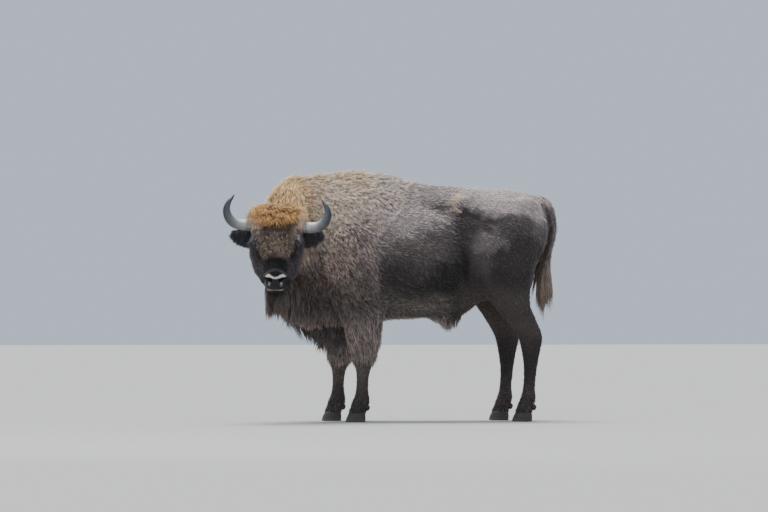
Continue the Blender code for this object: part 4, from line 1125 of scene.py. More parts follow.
def hair_at(region):
    """The measures of HAIR at each point, blended from part to part."""
    hx, hy, hz = mirrored(region.skull)[0].T
    head = region.head
    shares = {
        "rump": region.rump,
        "belly": region.belly,
        "mane": region.mane,
        "crest": region.crest,
        "throat": region.throat,
        "leg": region.leg,
        "cuff": region.fore * ramp(region.z, 0.35, 0.47),
        "sheath": region.sheath * ramp(region.z, 0.74, 0.69),
        "head": head,
        "cheek": head * ramp(hz, 0.005, -0.04) * ramp(hy, 0.07, 0.11) * ramp(hx, 0.35, 0.26),
        "brow": head * ramp(hz, -0.01, 0.03) * ramp(hy, 0.140, 0.115) * ramp(hx, 0.30, 0.25),
        "crown": region.crown,
        "beard": region.beard,
        "muzzle": region.muzzle(0.36, 0.41),
        "ear": region.ear,
        "tail": region.tail,
        "tuft": region.tail * ramp(region.z, 1.14, 1.00),
        "coronet": region.leg * ramp(region.z, 0.175, 0.140),
    }
    measures = np.tile(np.array(HAIR["trunk"]), (len(region.points), 1))
    for name, share in shares.items():
        measures += (np.array(HAIR[name]) - measures) * share[:, None]
    ly = np.abs(region.level[:, 1])
    off = np.hypot(0.6 * (region.level[:, 0] + 0.022), region.level[:, 2] + 0.006)
    rooted = head * ramp(ly, 0.120, 0.150) * ramp(off, 0.075, 0.045)  # round the root of a horn
    measures[:, LENGTH] *= 1 - 0.6 * rooted
    measures[:, RISE] *= 1 - 0.7 * rooted
    *_, opening = eye_reach(np.stack([hx, hy, hz], axis=1))
    lids = head * ramp(opening, 3.6, 2.6)
    measures += (np.array(LID_HAIR) - measures) * lids[:, None]
    measures[:, CLOSENESS] *= 1 - bareness(region)
    return measures


def bareness(region):
    """1 where the skin is naked: the nose pad and lips, the nostrils, and the rims of the lids."""
    half, _ = mirrored(region.skull)
    *_, opening = eye_reach(half)
    nose = ramp(region.drop, 0.358, 0.366) * ramp(half[:, 0], 0.425, 0.438)
    return np.maximum(nose, ramp(opening, 1.40, 1.20)) * region.head


# ---------------------------------------------------------------- tufts


def scattered(skin, weight, count, rng):
    """Places on the skin, one for each equal share of its triangles' area times weight: a random mix
    of the triangle's corners. Returns the points and their normals."""
    points, triangles, normals = skin
    a, b, c = (points[triangles[:, k]] for k in range(3))
    share = np.linalg.norm(np.cross(b - a, c - a), axis=1) * weight[triangles].mean(1)
    total = np.cumsum(share)
    picked = np.searchsorted(total, (np.arange(count) + rng.uniform(size=count)) / count * total[-1])
    picked = np.minimum(picked, len(triangles) - 1)
    first, second = np.sqrt(rng.uniform(size=count)), rng.uniform(size=count)
    mix = np.stack([1 - first, first * (1 - second), first * second], axis=1)[:, :, None]
    corners = triangles[picked]
    return (points[corners] * mix).sum(1), unit((normals[corners] * mix).sum(1))


def tuft_faces(rings):
    """The triangles of one closed spike of three-cornered rings and a tip: a cap on the root, two
    triangles a side between rings, and three up to the tip."""
    faces = [np.array([[0, 1, 2]])]
    k = np.arange(3)
    after = (k + 1) % 3
    for ring in range(rings - 1):
        low, high = 3 * ring, 3 * ring + 3
        faces.append(np.stack([low + after, low + k, high + k], axis=1))
        faces.append(np.stack([low + after, high + k, high + after], axis=1))
    low = 3 * (rings - 1)
    faces.append(np.stack([low + after, low + k, np.full(3, 3 * rings)], axis=1))
    return np.vstack(faces)


TUFT_END = 0.700  # the tail's tuft draws in to this x


def tuft_paths(roots, normals, way, measures, lock, rings, rng):
    """A bent path for each tuft. It leaves its root along the lie, which turns downwards for hair that
    hangs, rises by 1 - (1 - t)² of its rise, is drawn to its lock's middle by t to the power 1.6, sways
    sideways, and winds as a helix where it curls."""
    count = len(roots)
    length, _, rise, size, pull, sway, _, curl, hang = (measures[:, k, None, None] for k in range(9))
    t = (np.arange(rings + 1) / rings)[None, :, None]
    side = np.cross(way, normals)
    middle, number = lock
    own = middle + way * 0.45 * measures[:, LOCK, None] - roots
    own = own - normals * (own * normals).sum(1)[:, None]
    reach = np.linalg.norm(own, axis=1)[:, None, None]
    own = own[:, None] * np.minimum(1, 0.9 * size / np.maximum(reach, 1e-6))
    stretch = rng.uniform(0.70, 1.15, count)[:, None, None] * (0.82 + 0.36 * number[:, None, None])
    lift = rng.uniform(0.45, 1.10, count)[:, None, None] * (0.62 + 0.76 * number[:, None, None])
    phase = (2 * math.pi * (number * 3.7 % 1) + rng.normal(0, 0.5, count))[:, None, None]
    turn = 2 * math.pi * rng.uniform(0.8, 1.3, count)[:, None, None] * t + phase
    down = np.array((0.0, 0.0, -1.0))
    tapered = ramp(measures[:, HANG], 0.82, 0.92)  # the tail's tuft, which narrows to its end
    outer = np.clip(np.hypot(roots[:, 0] - 0.705, roots[:, 1]) / 0.05, 0, 1)
    short = tapered * (0.32 * outer + 0.40 * rng.uniform(0, 1, count) ** 2)
    stretch = stretch * (1 - short)[:, None, None]
    path = roots[:, None] - normals[:, None] * 0.0015
    path = path + (way[:, None] * (1 - hang) * t + down * hang * t**1.25) * length * stretch
    path = path + normals[:, None] * rise * lift * (1 - (1 - t) ** 2) * (1 - 0.35 * hang * t)
    path = path + own * pull * t**1.6
    close = 0.42 * tapered[:, None] * t[..., 0]
    path[..., 0] += (TUFT_END - path[..., 0]) * close
    path[..., 1] -= path[..., 1] * close
    path = path + side[:, None] * sway * np.sin(turn) * t**0.7
    wind = curl * rng.uniform(0.6, 1.25, count)[:, None, None] * t**0.6
    path = path + (side[:, None] * np.sin(0.9 * turn) + normals[:, None] * np.cos(0.9 * turn)) * wind
    return path + way[:, None] * np.cos(0.9 * turn) * wind * 0.4


def grown_tufts(path, normals, breadth, rng):
    """Spikes along the paths: flat triangles with a ridge, widest a third of the way along."""
    count, rings = len(path), path.shape[1] - 1
    ahead = unit(np.gradient(path, axis=1))
    flat = unit(np.cross(ahead, normals[:, None] + 0 * ahead))
    ridge = np.cross(flat, ahead)
    t = (np.arange(rings) / rings)[None, :, None]
    wide = breadth[:, None, None] / 2 * (0.75 + 0.9 * t - 1.25 * t**2)
    wide = wide * rng.uniform(0.7, 1.3, count)[:, None, None]
    body, flat, ridge = path[:, :rings], flat[:, :rings], ridge[:, :rings]
    corners = np.stack([body - flat * wide, body + flat * wide, body + ridge * wide * 0.75], axis=2)
    return np.concatenate([corners.reshape(count, rings * 3, 3), path[:, rings:]], axis=1)


ROOT_SHADE = 0.28  # the colour at a tuft's root, as a share of the colour along it
TIP_LIGHT = 1.75


def dyed(region, path, way, measures, lock, rng):
    """The colour at each corner of each tuft: dark at the root, lighter to the tip, lighter to the front of
    its lock and darker to its back as painted light and shade, a little lighter on its ridge as painted
    light, with some tufts and locks lighter than others and some a little redder."""
    count, rings = len(path), path.shape[1] - 1
    middle, number = lock
    tone = tones(region)
    tone = tone * np.exp((number - 0.5) * (0.50 + 1.30 * region.crown + 0.15 * region.mane))[:, None]
    tone = tone * np.exp(rng.normal(0, 0.17, count))[:, None]
    tone = tone * np.exp(rng.normal(0, 0.05, count)[:, None] * (1, 0.1, -1))
    t = np.append(np.repeat(np.arange(rings) / rings, 3), 1.0)
    hx, hy, hz = mirrored(region.skull)[0].T
    brow = region.head * (1 - region.crown) * ramp(hz, 0.0, 0.03)
    brow = brow * ramp(hy, 0.125, 0.100) * ramp(hx, 0.28, 0.24)
    curls = np.maximum(region.crown, brow)[:, None]
    root = ROOT_SHADE * (1 - 0.6 * curls)
    light = root + (1 - root) * ramp(t, 0.0, 0.55 + 0.15 * curls) + (TIP_LIGHT - 1) * ramp(t, 0.45, 1.0)
    # Painted light: the ridge corner of each tuft, which faces out of the skin, is lighter than its flat
    # corners.
    ridge = np.append(np.tile((0.92, 0.92, 1.12), rings), 1.0)
    colours = tone[:, None, :] * (light * ridge)[..., None]
    # Painted light and shade across each lock: lighter to its front, darker to its back.
    ahead = ((path - middle[:, None]) * way[:, None]).sum(2) / measures[:, LOCK, None]
    front = 0.66 - 0.36 * curls + (0.60 + 0.66 * curls) * ramp(ahead, -0.6, 0.6)
    front = np.concatenate([np.repeat(front[:, :rings], 3, axis=1), front[:, rings:]], axis=1)
    colours = colours * front[..., None]
    golden = ramp(hx, 0.075, 0.120) * ramp(hx, 0.275, 0.190) * ramp(number, 0.30, 0.70)
    for colour, share in (
        (TUFT_TIP, 0.8 * region.tail * ramp(region.z, 1.08, 0.95) * ramp(number, 0.2, 0.7)),
        (CURL_TIP, 0.90 * brow * golden),
        (CROWN_TIP, 0.85 * region.crown * ramp(hx, 0.035, 0.005) * ramp(number, 0.40, 0.85)),
        (CROWN_SIDE_TIP, 0.85 * region.crown * ramp(hy, 0.105, 0.155) * ramp(number, 0.30, 0.75)),
    ):
        share = ramp(t, 0.35, 1.0)[None, :, None] * share[:, None, None]
        colours += (np.array(colour) * rng.uniform(0.4, 1.15, count)[:, None, None] - colours) * share
    return colours * np.minimum(1, 0.83 / colours.max(-1, keepdims=True))


def unwrapped(region, name):
    """Where each root lies on an unwrap of the skin: the angle round the part's own middle line, and
    the distance along it, each as a share from 0 to 1. Legs lie side by side."""
    if name == "legs":
        fore, far = region.x < 0, region.y > 0
        lead = np.where(fore, FORE_FOOT[0] + FORE_STRIDE * far, HIND_FOOT[0] + HIND_STRIDE * far)
        angle = np.arctan2(np.abs(region.y) - 0.175, region.x - lead - 0.02) / (2 * math.pi)
        return np.stack([(2 * fore + far + 0.5 + angle) / 4, np.clip(region.z / 0.85, 0, 1)], axis=1)
    across, up, along = {
        "trunk": (region.y, region.z - 1.15, (region.x + 1.35) / 2.15),
        "head": (region.skull[:, 1], region.skull[:, 2] + 0.06, (region.skull[:, 0] + 0.20) / 0.70),
        "tail": (region.y, region.x - 0.70 - 0.3 * (region.z - 1.2), (region.z - 0.60) / 1.0),
        "beard": (region.y + 0.45, region.x + 1.15, (region.z - 0.40) / 0.80),
    }[name]
    return np.stack([0.5 + np.arctan2(across, up) / (2 * math.pi), np.clip(along, 0, 1)], axis=1)


PATCH = 0.003  # a tuft's width on the unwrap


def write(mesh, name, kind, field, values):
    """One value for each point of a mesh, as an attribute."""
    mesh.attributes.new(name, kind, "POINT").data.foreach_set(field, values.astype(np.float32).ravel())


def coat_piece(name, look, skin, weight, rings, triangles, unwrap, rng):
    """One piece of coat: tufts rooted where weight is above 0, as many as its triangles allow."""
    corners = tuft_faces(rings)
    count, per = triangles // len(corners), rings * 3 + 1
    roots, normals = scattered(skin, weight, count, rng)
    region = Region(roots)
    measures = hair_at(region)
    way = lie_of(region, normals, rng)
    lock = gathered(roots, measures[:, LOCK], region.mane * (1 - region.throat), 5)
    path = tuft_paths(roots, normals, way, measures, lock, rings, rng)
    points = grown_tufts(path, normals, measures[:, BREADTH], rng)
    faces = (corners[None] + np.arange(count)[:, None, None] * per).reshape(-1, 3)
    piece = built(name, points.reshape(-1, 3), faces, look)
    colours = dyed(region, path, way, measures, lock, rng)
    opaque = np.ones((count, per, 1))
    write(piece.data, "Coat", "FLOAT_COLOR", "color", np.concatenate([colours, opaque], axis=2))
    across = np.append(np.tile((0.0, 1.0, 0.5), rings), 0.5)
    along = np.append(np.repeat(np.arange(rings) / rings, 3), 1.0)
    strand = np.empty((count, per, 3))
    strand[..., 0] = across + rng.uniform(0, 50, count)[:, None]
    strand[..., 1] = along * (measures[:, LENGTH] / 0.03)[:, None]
    strand[..., 2] = rng.uniform(0, 50, count)[:, None]
    write(piece.data, "Strand", "FLOAT_VECTOR", "vector", strand)
    place = unwrapped(region, unwrap) * (1 - 2 * PATCH) + PATCH
    flat = place[:, None, :] + (np.stack([across, along], axis=1) - 0.5)[None] * PATCH
    layer = piece.data.uv_layers.new(name="OFBake")
    layer.data.foreach_set("uv", flat.reshape(-1, 2)[faces.ravel()].astype(np.float32).ravel())
    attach(piece, "root")
    return piece


# Each piece of coat: a slot name, which nothing reads, the rings in a tuft, its triangles and its unwrap.
COATS = {
    "crown_curls": ("crown", 5, 175000, "head"),
    "ear_hair": ("face", 3, 40000, "head"),
    "beard_hair": ("mane", 4, 90000, "beard"),
    "tail_hair": ("coat", 3, 80000, "tail"),
    "brow_curls": ("face", 4, 110000, "head"),
    "face_hair": ("face", 3, 110000, "head"),
    "dewlap_hair": ("mane", 4, 140000, "beard"),
    "leg_hair": ("leg", 2, 110000, "legs"),
    "neck_mane": ("mane", 3, 145000, "trunk"),
    "hump_mane": ("mane", 3, 185000, "trunk"),
    "shoulder_mane": ("mane", 3, 105000, "trunk"),
    "rump_coat": ("coat", 2, 105000, "trunk"),
    "barrel_coat": ("coat", 2, 100000, "trunk"),
}


def coat_areas(region):
    """Which of the skin's points each piece of coat grows from. Every point has one piece."""
    half, _ = mirrored(region.skull)
    brow = (half[:, 2] > 0.012) & (half[:, 1] < 0.125) & (half[:, 0] < 0.275)
    free = np.ones(len(region.x), bool)
    areas = {}
    for name, where in (
        ("crown_curls", region.crown > 0.5),
        ("ear_hair", region.ear > 0.5),
        ("beard_hair", region.beard > 0.5),
        ("tail_hair", region.tail > 0.5),
        ("brow_curls", (region.head > 0.5) & brow),
        ("face_hair", region.head > 0.5),
        ("dewlap_hair", (region.throat > 0.45) | (region.fore * ramp(region.z, 0.44, 0.50) > 0.5)),
        ("leg_hair", region.leg > 0.5),
        ("neck_mane", (region.mane > 0.4) & (region.x < -0.90)),
        ("hump_mane", (region.mane > 0.4) & (region.z > 1.25)),
        ("shoulder_mane", region.mane > 0.4),
        ("rump_coat", region.rump > 0.5),
        ("barrel_coat", free),
    ):
        areas[name] = where & free
        free = free & ~where
    return areas


def make_coat(skin, look):
    """All pieces of coat, closest where the hair is smallest."""
    region = Region(skin[0])
    closeness = hair_at(region)[:, CLOSENESS]
    areas = coat_areas(region)
    for index, (name, (slot, rings, triangles, unwrap)) in enumerate(COATS.items()):
        weight = np.where(areas[name], closeness, 0.0)
        rng = np.random.default_rng(COAT_SEED + index)
        coat_piece(name, look, skin, weight, rings, triangles, unwrap, rng)


# ---------------------------------------------------------------- horns, hooves and eyes


def make_horn(hand, side, look):
    """A round section carried along the horn's curve. Its radius has rings that fade towards the tip,
    sin(2 pi times 20 t) cubed for a share t of the length, and shallow flutes round it near the root."""
    line = eased(np.array(HORN), 10)
    path = line[:, :3] * (1, side, 1 if side < 0 else 0.95)
    t = np.append(0, np.cumsum(np.linalg.norm(np.diff(path, axis=0), axis=1)))
    t = (t / t[-1])[:, None]
    ahead = unit(np.gradient(path, axis=0))
    out = unit(np.cross(path[len(path) // 2] - path[0], path[-1] - path[0]))
    flat = unit(np.cross(ahead, out))
    rise = np.cross(flat, ahead)
    angle = np.linspace(0, 2 * math.pi, 40, endpoint=False)[None, :]
    rings = np.sin(2 * math.pi * (20 * t + 0.10 * np.sin(3 * angle) + 0.3 * np.sin(9 * t))) ** 3
    radius = line[:, 3:] * (1 + 0.05 * ramp(t, 0.3, 0.6) * ramp(t, 1.0, 0.8))
    flutes = np.sin(7 * angle + 2) * ramp(t, 0.5, 0.1)
    radius = radius * (1 + 0.030 * rings * ramp(t, 0.62, 0.12) + 0.012 * flutes)
    section = (np.cos(angle) * radius)[..., None] * flat[:, None] * 1.05
    section = section + (np.sin(angle) * radius)[..., None] * rise[:, None] * 0.95
    points, faces = closed_tube(carried(path[:, None] + section, HORN_FRAME))
    piece = built(f"{hand}_horn_sheath", points, faces, look)
    grain = np.stack([t + 0 * angle, 0.035 * np.cos(angle) + 0 * t, 0.035 * np.sin(angle) + 0 * t], axis=-1)
    grain = np.vstack([grain.reshape(-1, 3), (0, 0, 0), (1, 0, 0)])
    write(piece.data, "Grain", "FLOAT_VECTOR", "vector", grain)
    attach(piece, "root")
    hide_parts(f"{hand}_horn")


def hoof_shapes(foot):
    """Two claws and two dewclaws. A claw's sections swell by sin of its height in rings 9 mm apart; a
    dewclaw is a ball that narrows to its lower end."""
    shapes = []
    for side in (-1, 1):
        rings = rounded(eased(CLAW, 7), 40)
        middle = rings.mean(1, keepdims=True)
        level = rings[..., :1]
        swell = 1 + 0.010 * np.sin(2 * math.pi * level / 0.009) * ramp(level, 0.008, 0.016)
        swell = swell * (1 - 0.035 * ramp(level, 0.006, 0.0))
        rings = middle + (rings - middle) * np.concatenate([swell * 0 + 1, swell, swell], axis=2)
        matrix = foot @ np.diag((1.0, side, 1.0, 1.0)) @ UPRIGHT
        shapes.append(closed_tube(carried(rings, matrix)))
        pole, turn = sphere_angles(0.12, 14, 24)
        wide = np.sin(pole) * (1 - 0.22 * ramp(np.cos(pole), 0.2, -1.0))
        ball = np.stack([wide * np.cos(turn), wide * np.sin(turn), np.cos(pole)], axis=-1)
        at = np.array(DEWCLAW_AT) * (1, side, 1)
        shapes.append(closed_tube(carried(ball * DEWCLAW_RADII + at, foot)))
    return shapes


def make_hooves(look):
    """Four hooves, each of two claws and two dewclaws."""
    for hand, side in (("left", -1), ("right", 1)):
        for leg, place, stride in (("fore", FORE_FOOT, FORE_STRIDE), ("hind", HIND_FOOT, HIND_STRIDE)):
            foot = np.array(Matrix.Translation((place[0] + stride * (side > 0), side * place[1], 0)))
            piece = built(f"{hand}_{leg}_hoof", *joined(hoof_shapes(foot)), look)
            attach(piece, "root")
            kinds = ("inner_claw", "inner_dewclaw", "outer_claw", "outer_dewclaw")
            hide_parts(*[f"{hand}_{leg}_{kind}" for kind in kinds])


def make_eye(hand, side, look):
    """A ball about the way the eye looks, with the cornea's swelling, its colour set by the distance
    from its axis: a level pupil, a brown iris and a dark white, partly painted shade from the lids."""
    pole, turn = sphere_angles(0.02, 44, 48)
    radius = EYE_RADIUS * (1 + 0.05 * np.exp(-((pole / 0.62) ** 2)))
    along, up = np.sin(pole) * np.cos(turn) * radius, np.sin(pole) * np.sin(turn) * radius
    out = np.cos(pole) * radius
    level = unit(PUPIL_LONG - EYE_OUT * (PUPIL_LONG @ EYE_OUT))
    height = unit(np.cross(level, EYE_OUT))
    points = EYE_AT + along[..., None] * level + up[..., None] * height + out[..., None] * EYE_OUT
    piece = built(f"{hand}_eyeball", *closed_tube(carried(points * (1, side, 1), SKULL)), look)
    size = np.hypot(along, up)
    tone = np.tile(np.array(SHADED_EYE_WHITE), (size.size, 1))
    washed(tone, IRIS, ramp(size.ravel(), 0.0168, 0.0155))
    washed(tone, IRIS_RIM, np.exp(-(((size.ravel() - 0.0160) / 0.0012) ** 2)))
    washed(tone, PUPIL, ramp(np.hypot(along / 1.9, up).ravel(), 0.0058, 0.0046))
    washed(tone, EYE_BACK, ramp(pole.ravel(), 1.2, 1.5))
    tone = np.vstack([tone, *EYE_POLES])
    write(piece.data, "Coat", "FLOAT_COLOR", "color", np.hstack([tone, np.ones((len(tone), 1))]))
    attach(piece, "root")
    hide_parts(f"{hand}_eye")


def make_features():
    """The horns, the eyes and the hooves, each with its own finish."""
    horn, eye = horn_look(), eye_look()
    for hand, side in (("right", -1), ("left", 1)):
        make_horn(hand, side, horn)
        make_eye(hand, side, eye)
    make_hooves(hoof_look())


# ---------------------------------------------------------------- finishes


def new_look(name):
    """A material with its node tree and shader."""
    look = bpy.data.materials.new(name)
    look.use_nodes = True
    return look, look.node_tree, look.node_tree.nodes["Principled BSDF"]


def node(tree, kind, inputs=(), **settings):
    """A node with its settings and its inputs' values or links."""
    made = tree.nodes.new(kind)
    for key, value in settings.items():
        setattr(made, key, value)
    for key, value in dict(inputs).items():
        if isinstance(value, bpy.types.NodeSocket):
            tree.links.new(value, made.inputs[key])
        else:
            made.inputs[key].default_value = value
    return made


def scaled_colour(tree, colour, factor):
    """A colour times a number, both from nodes."""
    return node(tree, "ShaderNodeVectorMath", {0: colour, "Scale": factor}, operation="SCALE").outputs[0]


def painted(tree, name, output):
    """A value kept on the mesh's own points."""
    return node(tree, "ShaderNodeAttribute", attribute_name=name).outputs[output]


def noise_of(tree, place, scale, detail, stretch=None):
    """Soft noise over a place, which may first be stretched along its axes."""
    if stretch:
        place = node(tree, "ShaderNodeMapping", {"Vector": place, "Scale": stretch}).outputs[0]
    inputs = {"Vector": place, "Scale": scale, "Detail": detail}
    return node(tree, "ShaderNodeTexNoise", inputs).outputs["Fac"]


def reckoned(tree, first, second, operation):
    """Two values from nodes added or multiplied."""
    return node(tree, "ShaderNodeMath", {0: first, 1: second}, operation=operation).outputs[0]


def embossed(tree, shader, height, strength, distance):
    """Gives the shader relief from a height."""
    bump = node(tree, "ShaderNodeBump", {"Height": height, "Strength": strength, "Distance": distance})
    tree.links.new(bump.outputs[0], shader.inputs["Normal"])


def spread(tree, value, low, high, start=0.0, end=1.0):
    """A value that runs from start to end stretched to run from low to high."""
    inputs = {"Value": value, "From Min": start, "From Max": end, "To Min": low, "To Max": high}
    return node(tree, "ShaderNodeMapRange", inputs).outputs[0]


def coat_look():
    """Hair: the tuft's own colour with finer strands drawn along it, in colour and in relief."""
    look, tree, shader = new_look("Coat")
    colour = painted(tree, "Coat", "Color")
    strand = painted(tree, "Strand", "Vector")
    noise = noise_of(tree, strand, 1.6, 2.0, (5.0, 0.8, 1.0))
    strands = spread(tree, noise, 0.0, 1.0, 0.32, 0.68)
    tinted = scaled_colour(tree, colour, spread(tree, strands, 0.55, 1.45))
    tree.links.new(tinted, shader.inputs["Base Color"])
    embossed(tree, shader, strands, 0.50, 0.0009)
    tree.links.new(spread(tree, noise, 0.78, 0.56), shader.inputs["Roughness"])
    shader.inputs["Specular IOR Level"].default_value = 0.24
    shader.inputs["Sheen Weight"].default_value = 0.08
    shader.inputs["Sheen Roughness"].default_value = 0.45
    shader.inputs["Sheen Tint"].default_value = (1.0, 0.92, 0.84, 1)
    return look


def skin_look():
    """The skin and its underfur: markings, short hair drawn along the lie, and bare skin with pores."""
    look, tree, shader = new_look("Skin and underfur")
    colour = painted(tree, "Coat", "Color")
    grain = painted(tree, "Grain", "Vector")
    bare = painted(tree, "Bare", "Fac")
    place = node(tree, "ShaderNodeTexCoord").outputs["Object"]
    hairs = noise_of(tree, grain, 260.0, 3.0)
    cells = {"Vector": place, "Scale": 330.0}
    pores = node(tree, "ShaderNodeTexVoronoi", cells, feature="DISTANCE_TO_EDGE").outputs["Distance"]
    wet = spread(tree, pores, 0.0, 1.0, 0.0, 0.25)
    relief = node(tree, "ShaderNodeMix", {"Factor": bare, "A": hairs, "B": wet}, data_type="FLOAT").outputs[0]
    tinted = scaled_colour(tree, colour, spread(tree, relief, 0.55, 1.45, 0.3, 0.7))
    tree.links.new(tinted, shader.inputs["Base Color"])
    tree.links.new(spread(tree, bare, 0.75, 0.36), shader.inputs["Roughness"])
    embossed(tree, shader, relief, 0.45, 0.0015)
    shader.inputs["Specular IOR Level"].default_value = 0.22
    return look


def colour_ramp(tree, value, stops):
    """A colour read off a row of stops, each a place and a colour."""
    made = node(tree, "ShaderNodeValToRGB", {0: value})
    elements = made.color_ramp.elements
    for index, (place, colour) in enumerate(stops):
        element = elements[index] if index < 2 else elements.new(place)
        element.position = place
        element.color = (*colour, 1)
    return made.outputs[0]


def horn_look():
    """Horn: pale grey at the root to near black at the tip, streaked along its length, with fine
    rings near the root and a worn polish at the tip."""
    look, tree, shader = new_look("Horn")
    grain = painted(tree, "Grain", "Vector")
    along = node(tree, "ShaderNodeSeparateXYZ", {0: grain}).outputs[0]
    streak = noise_of(tree, grain, 1.5, 4.0, (4.0, 240.0, 240.0))
    band = noise_of(tree, grain, 1.0, 3.0, (90.0, 14.0, 14.0))
    mixed = reckoned(tree, streak, band, "ADD")
    shift = spread(tree, mixed, -0.07, 0.07, 0.6, 1.4)
    place = reckoned(tree, along, shift, "ADD")
    stops = [
        (0.00, (0.260, 0.220, 0.180)),
        (0.12, (0.430, 0.420, 0.400)),
        (0.32, (0.470, 0.465, 0.460)),
        (0.47, (0.200, 0.205, 0.220)),
        (0.62, (0.075, 0.082, 0.098)),
        (0.86, (0.040, 0.048, 0.062)),
        (1.00, (0.014, 0.015, 0.020)),
    ]
    shade = spread(tree, mixed, 0.40, 1.60, 0.72, 1.28)
    # Painted light and shade: paler round the inside of the bend and darker round its outside, the horn's
    # underside.
    under = node(tree, "ShaderNodeSeparateXYZ", {0: grain}).outputs[1]
    under = spread(tree, under, 1.45, 0.40, -0.03, 0.03)  # darker round the outside of the bend
    shade = reckoned(tree, shade, under, "MULTIPLY")
    colour = scaled_colour(tree, colour_ramp(tree, place, stops), shade)
    tree.links.new(colour, shader.inputs["Base Color"])
    tree.links.new(spread(tree, place, 0.62, 0.30), shader.inputs["Roughness"])
    embossed(tree, shader, mixed, 0.5, 0.0012)
    return look


def hoof_look():
    """Hoof: dark grey-brown horn with fine lines down it, rings across it and dry mud at the sole."""
    look, tree, shader = new_look("Hoof")
    place = node(tree, "ShaderNodeTexCoord").outputs["Object"]
    line = noise_of(tree, place, 1.0, 3.0, (260.0, 260.0, 14.0))
    ring = noise_of(tree, place, 1.0, 2.0, (8.0, 8.0, 170.0))
    mixed = reckoned(tree, line, ring, "ADD")
    height = node(tree, "ShaderNodeSeparateXYZ", {0: place}).outputs[2]
    stops = [(0.0, (0.115, 0.095, 0.075)), (0.30, (0.050, 0.043, 0.038)), (1.0, (0.030, 0.027, 0.026))]
    tall = spread(tree, height, 0.0, 1.0, 0.0, 0.07)
    shade = spread(tree, mixed, 0.6, 1.5, 0.6, 1.4)
    tree.links.new(scaled_colour(tree, colour_ramp(tree, tall, stops), shade), shader.inputs["Base Color"])
    shader.inputs["Roughness"].default_value = 0.55
    embossed(tree, shader, mixed, 0.5, 0.0010)
    return look


def eye_look():
    """The eye's own colours under a clear wet coat."""
    look, tree, shader = new_look("Eye")
    colour = painted(tree, "Coat", "Color")
    place = node(tree, "ShaderNodeTexCoord").outputs["Object"]
    fibre = noise_of(tree, place, 900.0, 2.0)
    tree.links.new(scaled_colour(tree, colour, spread(tree, fibre, 0.7, 1.3)), shader.inputs["Base Color"])
    shader.inputs["Roughness"].default_value = 0.10
    shader.inputs["Specular IOR Level"].default_value = 0.3
    shader.inputs["Coat Weight"].default_value = 0.25
    shader.inputs["Coat Roughness"].default_value = 0.03
    return look


# ---------------------------------------------------------------- stage

EYE_LEVEL = 0.775  # the camera's height
VIEW_TURN = math.radians(-8.0)
VIEW_DISTANCE = 30.0
VIEW_WIDTH = 5.224  # what the picture spans at the bull
VIEW_SIDE = -0.381
VIEW_AIM = 1.122
FLOOR_REACH = 60.0


def aimed(thing, target):
    """Turns a camera or lamp at its place to face a point."""
    thing.rotation_euler = (target - thing.location).to_track_quat("-Z", "Y").to_euler()


def make_camera():
    """A long lens far off on the bull's left, a little ahead of square."""
    right = Vector((math.cos(VIEW_TURN), math.sin(VIEW_TURN), 0))
    back = Vector((math.sin(VIEW_TURN), -math.cos(VIEW_TURN), 0))
    lens = bpy.data.cameras.new("camera")
    lens.sensor_width = 36.0
    lens.lens = lens.sensor_width * VIEW_DISTANCE / VIEW_WIDTH
    lens.clip_end = 500.0
    camera = bpy.data.objects.new("camera", lens)
    bpy.context.scene.collection.objects.link(camera)
    aim = right * VIEW_SIDE + Vector((0, 0, VIEW_AIM)) + Vector(ORIGIN)
    camera.location = right * VIEW_SIDE + back * VIEW_DISTANCE + Vector((0, 0, EYE_LEVEL)) + Vector(ORIGIN)
    aimed(camera, aim)
    bpy.context.scene.camera = camera


def make_lamp(name, place, target, size, power, colour):
    """A soft rectangular lamp that faces its target."""
    lamp = bpy.data.lights.new(name, "AREA")
    lamp.shape = "RECTANGLE"
    lamp.size, lamp.size_y = size
    lamp.energy = power
    lamp.color = colour
    made = bpy.data.objects.new(name, lamp)
    bpy.context.scene.collection.objects.link(made)
    made.location = Vector(place) + Vector(ORIGIN)
    aimed(made, Vector(target) + Vector(ORIGIN))


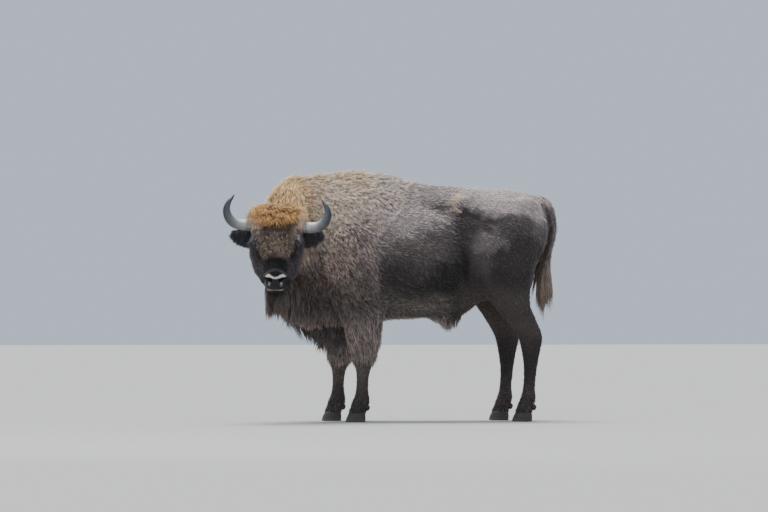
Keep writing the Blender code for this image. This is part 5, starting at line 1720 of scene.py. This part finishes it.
def make_stage():
    """A pale floor out to the skyline, a pale sky, and a very wide soft light from above, a little
    behind the bull and towards its head, with a weak one in front."""
    world = bpy.data.worlds.new("studio")
    world.use_nodes = True
    world.node_tree.nodes["Background"].inputs["Color"].default_value = (0.77, 0.89, 1.03, 1)
    world.node_tree.nodes["Background"].inputs["Strength"].default_value = 0.72
    bpy.context.scene.world = world
    sun = bpy.data.lights.new("overhead", "SUN")
    sun.energy = 6.0
    sun.angle = math.radians(36.0)
    sun.color = (1.0, 0.98, 0.96)
    made = bpy.data.objects.new("overhead", sun)
    bpy.context.scene.collection.objects.link(made)
    made.location = Vector((-0.6, 1.0, 5.0)) + Vector(ORIGIN)
    aimed(made, Vector((-0.3, -0.2, 0.0)) + Vector(ORIGIN))
    make_lamp("front", (-3.5, -6.5, 3.4), (-0.4, -0.2, 1.1), (4.0, 3.0), 80.0, (0.95, 0.97, 1.0))
    corners = np.array([(-1.0, -1, 0), (1, -1, 0), (1, 1, 0), (-1, 1, 0)]) * FLOOR_REACH
    floor = built("floor", corners, np.arange(4)[None])
    look, _, shader = new_look("Pale floor")
    shader.inputs["Base Color"].default_value = (0.36, 0.355, 0.345, 1)
    shader.inputs["Roughness"].default_value = 0.95
    floor.data.materials.append(look)


def dress_skin(skin):
    """Puts the markings, the lie of the hair and the bare places on the skin's own points."""
    points, triangles = arrays_of(skin.data)
    normals = normals_of(points, triangles)
    region = Region(points)
    rng = np.random.default_rng(SKIN_SEED)
    bare = bareness(region)
    # The skin under the hair is 0.62 of the coat's colour: partly painted shade deep in the coat, partly
    # darker underfur.
    under = 0.62 + 0.38 * np.maximum(bare, region.muzzle(0.37, 0.39))
    colour = np.ones((len(points), 4))
    colour[:, :3] = tones(region) * under[:, None]
    write(skin.data, "Coat", "FLOAT_COLOR", "color", colour)
    way = lie_of(region, normals, rng)
    write(skin.data, "Grain", "FLOAT_VECTOR", "vector", points - 0.80 * way * (points * way).sum(1)[:, None])
    write(skin.data, "Bare", "FLOAT", "value", bare)


# ---------------------------------------------------------------- the whole

make_camera()
make_stage()
skin, dense = make_skin(skin_look())
dress_skin(skin)
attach(skin, "root")
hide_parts(*[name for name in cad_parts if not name.endswith(("horn", "claw", "eye"))])
make_coat(dense, coat_look())
make_features()
